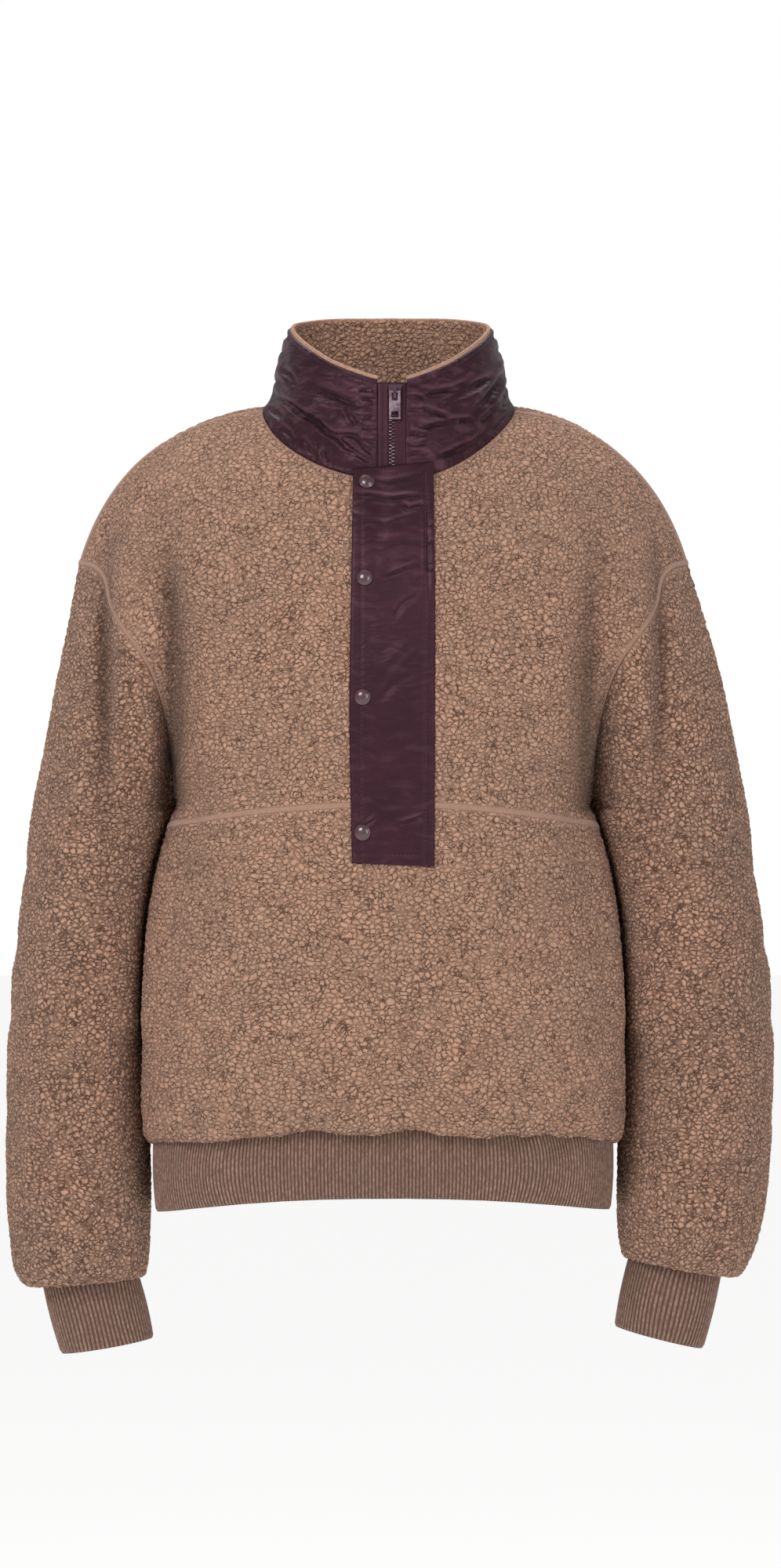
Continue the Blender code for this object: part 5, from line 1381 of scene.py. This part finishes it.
def thread_line(name, line, out, mat, pitch=0.0030, share=0.72, radius=0.00026, slant=0.0):
    """Topstitching: one short rounded thread after another along a line."""
    length = np.concatenate([[0.0], np.cumsum(np.linalg.norm(np.diff(line, axis=0), axis=1))])
    count = int(length[-1] / pitch)
    verts = []
    faces = []

    def at(values, d):
        return np.array([np.interp(d, length, values[:, k]) for k in range(3)])

    for i in range(count):
        a = at(line, (i + 0.5 - share / 2) * pitch)
        b = at(line, (i + 0.5 + share / 2) * pitch)
        n = unit(at(out, (i + 0.5) * pitch))
        d = unit(b - a)
        w = unit(np.cross(n, d))
        base_id = len(verts)
        for t, r, up in ((0.0, 0.45, -0.6), (0.22, 1.0, 0.35), (0.78, 1.0, 0.35), (1.0, 0.45, -0.6)):
            c = a + (b - a) * t + n * radius * up + w * slant * (t - 0.5)
            for k in range(5):
                turn = 2 * math.pi * k / 5
                verts.append(c + radius * r * (w * math.cos(turn) + n * math.sin(turn)))
        for ring in range(3):
            for k in range(5):
                j = (k + 1) % 5
                p = base_id + ring * 5
                faces.append([p + k, p + j, p + 5 + j, p + 5 + k])
        faces.append([base_id + k for k in range(4, -1, -1)])
        faces.append([base_id + 15 + k for k in range(5)])
    return add_object(name, verts, faces, mat)


THREAD_MAT = thread_material("plum_thread", rgb(60, 36, 46), rgb(84, 56, 68))
row = int(np.argmin(np.abs(rises - 0.935)))
rim_stitch = thread_line("collar_rim_topstitch", shell_grid[row], normal[row], THREAD_MAT)
dress(rim_stitch, [])


# Zip tape, teeth, slider and pull, set on the solids they replace or ride with.
def tree_of(name):
    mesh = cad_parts[name].data
    return BVHTree.FromPolygons([v.co.copy() for v in mesh.vertices], [list(p.vertices) for p in mesh.polygons])


def cast(tree, x, z):
    """Front face of a solid at x, z: its point and outward normal, or None."""
    hit = tree.ray_cast(Vector((x, -0.4, z)), Vector((0.0, 1.0, 0.0)))
    if hit[0] is None:
        return None
    n = hit[1] if hit[1].y < 0 else -hit[1]
    return np.array(hit[0]), np.array(n)


def centre_line(name, x, z_top, z_low, count):
    """Points and outward normals down the front of a solid, smoothed over its facets."""
    tree = tree_of(name)
    points = []
    for z in np.linspace(z_top, z_low, count):
        hit = cast(tree, x, z)
        if hit is not None:
            points.append(hit[0])
    line = np.array(points)
    for _ in range(6):
        line[1:-1, 1] = 0.25 * line[:-2, 1] + 0.5 * line[1:-1, 1] + 0.25 * line[2:, 1]
    d = np.gradient(line, axis=0)
    out = unit(np.stack([np.zeros(len(d)), d[:, 2], -d[:, 1]], axis=1))
    return line, out


tape_lo, tape_hi = (np.array(v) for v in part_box("zip_tape"))
tape_x = 0.5 * (tape_lo[0] + tape_hi[0])
half = 0.5 * (tape_hi[0] - tape_lo[0]) + 0.0014
line, out = centre_line("zip_tape", tape_x + 0.006, tape_hi[2] - 0.0006, tape_lo[2] + 0.0006, 241)
across = np.linspace(-1, 1, 25)
g = line[::-1][:, None] * [0, 1, 1] + np.array([1, 0, 0]) * (tape_x + across * half)[None, :, None]
cord = 0.0003 * np.exp(-(((np.abs(across) - 0.3) / 0.08) ** 2))
cord -= 0.0012 * ease((np.abs(across) - 0.80) / 0.18)
g = g + out[::-1][:, None] * cord[None, :, None]
TAPE_MAT = nylon_material("zip_tape_weave", 0.2)
tape = cloth("zip_tape_woven", g, 0.0009, TAPE_MAT)
dress(tape, ["zip_tape"])

METAL_MAT = metal_material("zip_teeth_metal", rgb(104, 90, 96), rgb(164, 150, 156), 0.34)
line, out = centre_line("zip_chain", 0.5 * sum(v[0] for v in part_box("zip_chain")),
                        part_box("zip_chain")[1][2] - 0.0004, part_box("zip_chain")[0][2] + 0.0004, 400)
length = np.concatenate([[0.0], np.cumsum(np.linalg.norm(np.diff(line, axis=0), axis=1))])
PITCH = 0.00135
bm = bmesh.new()
for i in range(int(length[-1] / PITCH)):
    d = (i + 0.5) * PITCH
    c = Vector([np.interp(d, length, line[:, k]) for k in range(3)])
    n = Vector(unit(np.array([np.interp(d, length, out[:, k]) for k in range(3)])))
    right = Vector((1, 0, 0))
    up = right.cross(-n).normalized()
    side = 1 if i % 2 else -1
    m = Matrix((right, up, n)).transposed().to_4x4()
    for size, place in (
        ((0.0017, 0.00085, 0.00085), (side * 0.00125, 0, 0.00010)),
        ((0.0011, 0.00070, 0.00060), (side * 0.00030, 0, 0.00005)),
    ):
        made = bmesh.ops.create_cube(bm, size=1.0)["verts"]
        bmesh.ops.scale(bm, vec=size, verts=made)
        bmesh.ops.translate(bm, vec=place, verts=made)
        bmesh.ops.transform(bm, matrix=Matrix.Translation(c) @ m, verts=made)
bmesh.ops.bevel(bm, geom=list(bm.edges), offset=0.00018, segments=1, affect="EDGES")
mesh = bpy.data.meshes.new("zip_teeth")
bm.to_mesh(mesh)
bm.free()
mesh.shade_smooth()
mesh.materials.append(METAL_MAT)
teeth = bpy.data.objects.new("zip_teeth", mesh)
bpy.context.scene.collection.objects.link(teeth)
dress(teeth, ["zip_chain"])

SLIDER_MAT = metal_material("slider_lacquer", rgb(66, 40, 54), rgb(92, 62, 78), 0.34, metal=0.6, coat=0.5)
PULL_MAT = metal_material("pull_lilac_metal", rgb(140, 112, 126), rgb(182, 158, 170), 0.30, metal=0.9)
for name, mat, width in (("zip_slider", SLIDER_MAT, 0.0004), ("zip_pull", PULL_MAT, 0.00032)):
    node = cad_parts[name]
    node.data.materials.clear()
    node.data.materials.append(mat)
    bevel = node.modifiers.new("edges", "BEVEL")
    bevel.width = width
    bevel.segments = 3
    bevel.limit_method = "ANGLE"
    bevel.harden_normals = True

# Placket flap: a fine sheet over the solid's front, with its creases, hems and topstitching.
flap_tree = tree_of("placket_flap")
# share down the flap  left x  right x, in mm
FLAP_X = [(0, -28.5, 32.5), (0.25, -29.5, 33.5), (0.6, -31.0, 33.5), (1.0, -29.2, 33.2)]
down = np.linspace(0, 1, 4 * 62 + 1)
over = np.linspace(0, 1, 4 * 13 + 1)
edges = spline(FLAP_X, down)
gx = edges[:, :1] + (edges[:, 1:] - edges[:, :1]) * over[None, :]
top_z = -48.0 + 5.5 * over[None, :]
low_z = -347.0 - 2.5 * over[None, :]
gz = top_z + (low_z - top_z) * down[:, None]
gy = np.zeros(gx.shape)
for r in range(gx.shape[0]):
    for c in range(gx.shape[1]):
        hit = None
        for pull in (0.0, 0.004, 0.008, 0.016):
            qx = gx[r, c] * (1 - pull * 2) + 2.0 * pull * 2
            qz = gz[r, c] * (1 - pull) - 200.0 * pull
            hit = cast(flap_tree, qx * 0.001, qz * 0.001)
            if hit is not None:
                break
        gy[r, c] = hit[0][1] * 1000 if hit is not None else np.nan
gap = np.isnan(gy)
gy[gap] = np.nanmean(gy)
for _ in range(8):
    gy[1:-1] = 0.25 * gy[:-2] + 0.5 * gy[1:-1] + 0.25 * gy[2:]
    gy[:, 1:-1] = 0.25 * gy[:, :-2] + 0.5 * gy[:, 1:-1] + 0.25 * gy[:, 2:]
lift = -1.4 * crease_depth(gx, gz, FLAP_CREASES)
width = gx[:, -1:] - gx[:, :1]
from_left = over[None, :] * width
from_right = (1 - over[None, :]) * width
from_top = down[:, None] * 300.0
from_low = (1 - down[:, None]) * 300.0
seam_lines = ((gx - 26.5), (gx + 22.0))
for d in seam_lines:
    lift -= 0.35 * np.exp(-((d / 0.9) ** 2))
lift -= 0.3 * np.exp(-(((from_top - 7.0) / 0.9) ** 2)) + 0.3 * np.exp(-(((from_low - 7.5) / 0.9) ** 2))
near = np.minimum(np.minimum(from_left, from_right), np.minimum(from_top, from_low))
lift += 0.55 * ease(near / 1.6) - 0.55
lift += 0.22 * np.sin(gz / 3.7 + np.sin(gx / 5.0)) * np.exp(-np.minimum(from_left, from_right) / 3.0)
lift += 0.16 * np.sin(gx / 9.0 + gz / 31.0) * np.sin(gz / 17.0)
gy = gy - lift
g = np.stack([gx, gy, gz], axis=-1)[::-1] * 0.001
# Painted shade in the flap's creases and painted highlight just above each crease, carried in the hollow field.
dark = np.clip(crease_depth(gx, gz, FLAP_CREASES) / 1.4, 0.0, 1.0)
dark = 0.9 * dark - (1 - dark) * np.clip(crease_depth(gx, gz - 2.6, FLAP_CREASES) / 1.6, 0.0, 1.0)
flap = cloth("placket_flap_nylon", g, 0.0013, FLAP_MAT, fields={"hollow": dark[::-1]})
dress(flap, ["placket_flap"])
flap_grid = g[::-1]
flap_normal = grid_normals(g)[::-1]


def flap_line(xs, zs):
    """Points on the flap nearest to a run of x, z in mm, with their normals."""
    line = []
    out = []
    for x, z in zip(xs, zs):
        d = (flap_grid[..., 0] * 1000 - x) ** 2 + (flap_grid[..., 2] * 1000 - z) ** 2
        r, c = np.unravel_index(int(np.argmin(d)), d.shape)
        line.append([x * 0.001, flap_grid[r, c, 1], z * 0.001])
        out.append(flap_normal[r, c])
    return np.array(line), np.array(out)


runs = {
    "flap_topstitch_right": (np.full(120, 26.5), np.linspace(-50.5, -341, 120)),
    "flap_topstitch_left": (np.full(120, -22.0), np.linspace(-66.0, -340, 120)),
    "flap_topstitch_low": (np.linspace(-21.5, 26.5, 30), np.linspace(-340.0, -341.8, 30)),
    "flap_topstitch_top": (np.linspace(-10.0, 26.0, 24), np.linspace(-53.8, -50.6, 24)),
}
for name, (xs, zs) in runs.items():
    line, out = flap_line(xs, zs)
    dress(thread_line(name, line, out, THREAD_MAT, pitch=0.0031), [])

# Snap caps: a domed enamel disc in a rolled ring.
SNAP_MAT = metal_material("snap_enamel", rgb(70, 38, 46), rgb(80, 46, 54), 0.30, metal=0.1, coat=1.0)
# radius share  height in mm
CAP = [(0.0, 2.40), (0.15, 2.37), (0.3, 2.27), (0.45, 2.09), (0.58, 1.86), (0.7, 1.56), (0.8, 1.22), (0.87, 0.92),
       (0.92, 0.74), (0.97, 0.66), (1.0, 0.42), (0.99, 0.12), (0.93, -0.1), (0.85, -0.5)]
for i in range(4):
    name = "snap_%d" % (i + 1)
    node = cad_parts[name]
    pts = np.array([v.co[:] for v in node.data.vertices])
    centre = pts.mean(axis=0)
    biggest = max(node.data.polygons, key=lambda f: f.area * (1.0 if f.normal.y < 0 else 0.01))
    n = np.array(biggest.normal)
    reach = (pts - centre) @ n
    foot = centre + n * reach.min()
    radius = np.linalg.norm((pts - centre) - np.outer(reach, n), axis=1).max()
    tall = reach.max() - reach.min()
    u = unit(np.cross(n, [0, 0, 1.0]))
    w = np.cross(n, u)
    verts = []
    faces = []
    segs = 40
    for share, height in CAP:
        for k in range(segs):
            a = 2 * math.pi * k / segs
            verts.append(foot + n * (height / 2.05 * tall)
                         + (u * math.cos(a) + w * math.sin(a)) * radius * max(share, 0.001))
    for ring in range(len(CAP) - 1):
        for k in range(segs):
            j = (k + 1) % segs
            p = ring * segs
            faces.append([p + k, p + segs + k, p + segs + j, p + j])
    faces.append([k for k in range(segs)])
    faces.append([(len(CAP) - 1) * segs + k for k in range(segs - 1, -1, -1)])
    cap = add_object(name + "_cap", verts, faces, SNAP_MAT)
    dress(cap, [name])

# Ground, light and camera.
FLOOR_Z = -1.42
FLOOR_HALF = 40
corners = [(-1, -1), (1, -1), (1, 1), (-1, 1)]
mesh = bpy.data.meshes.new("floor")
mesh.from_pydata([(x * FLOOR_HALF, y * FLOOR_HALF, FLOOR_Z) for x, y in corners], [], [[0, 1, 2, 3]])
floor = bpy.data.objects.new("floor", mesh)
bpy.context.scene.collection.objects.link(floor)
mat, n, shader = new_material("floor_pale")
shader.inputs["Base Color"].default_value = (0.80, 0.80, 0.79, 1.0)
shader.inputs["Roughness"].default_value = 0.9
shader.inputs["Emission Color"].default_value = (1.0, 1.0, 1.0, 1.0)
n.tree.links.new(n.ramp(n.add("ShaderNodeLightPath").outputs["Is Camera Ray"], 0.0, 1.0, 0.30, 0.62, soft=False),
                 shader.inputs["Emission Strength"])
mesh.materials.append(mat)

AMBIENT = 0.38
world = bpy.data.worlds.new("studio")
bpy.context.scene.world = world
world.use_nodes = True
n = Nodes(world.node_tree)
seen = n.add("ShaderNodeLightPath").outputs["Is Camera Ray"]
back = world.node_tree.nodes["Background"]
back.inputs["Color"].default_value = (1.0, 1.0, 1.0, 1.0)
n.tree.links.new(n.ramp(seen, 0.0, 1.0, AMBIENT, 1.0, soft=False), back.inputs["Strength"])
bpy.context.scene.view_settings.view_transform = "Standard"


def area(name, place, aim, size, power):
    lamp = bpy.data.lights.new(name, "AREA")
    lamp.shape = "RECTANGLE"
    lamp.size, lamp.size_y = size
    lamp.energy = power
    obj = bpy.data.objects.new(name, lamp)
    obj.location = place
    obj.rotation_euler = (Vector(aim) - Vector(place)).to_track_quat("-Z", "Y").to_euler()
    bpy.context.scene.collection.objects.link(obj)


area("key", (-1.6, -3.0, 1.7), (0, 0, -0.3), (1.5, 1.5), 70)
area("fill", (2.0, -3.0, 0.5), (0, 0, -0.35), (1.6, 2.2), 30)
area("top", (0.0, 1.2, 2.6), (0, 0, -0.3), (2.4, 1.6), 40)

camera_data = bpy.data.cameras.new("camera")
camera = bpy.data.objects.new("camera", camera_data)
bpy.context.scene.collection.objects.link(camera)
CAMERA_BACK = 6.0
camera.location = (0.0, -CAMERA_BACK, -0.2874)
camera.rotation_euler = (math.pi / 2, 0.0, 0.0)
camera_data.sensor_width = 36.0
camera_data.lens = 36.0 * CAMERA_BACK / 1.21
bpy.context.scene.camera = camera
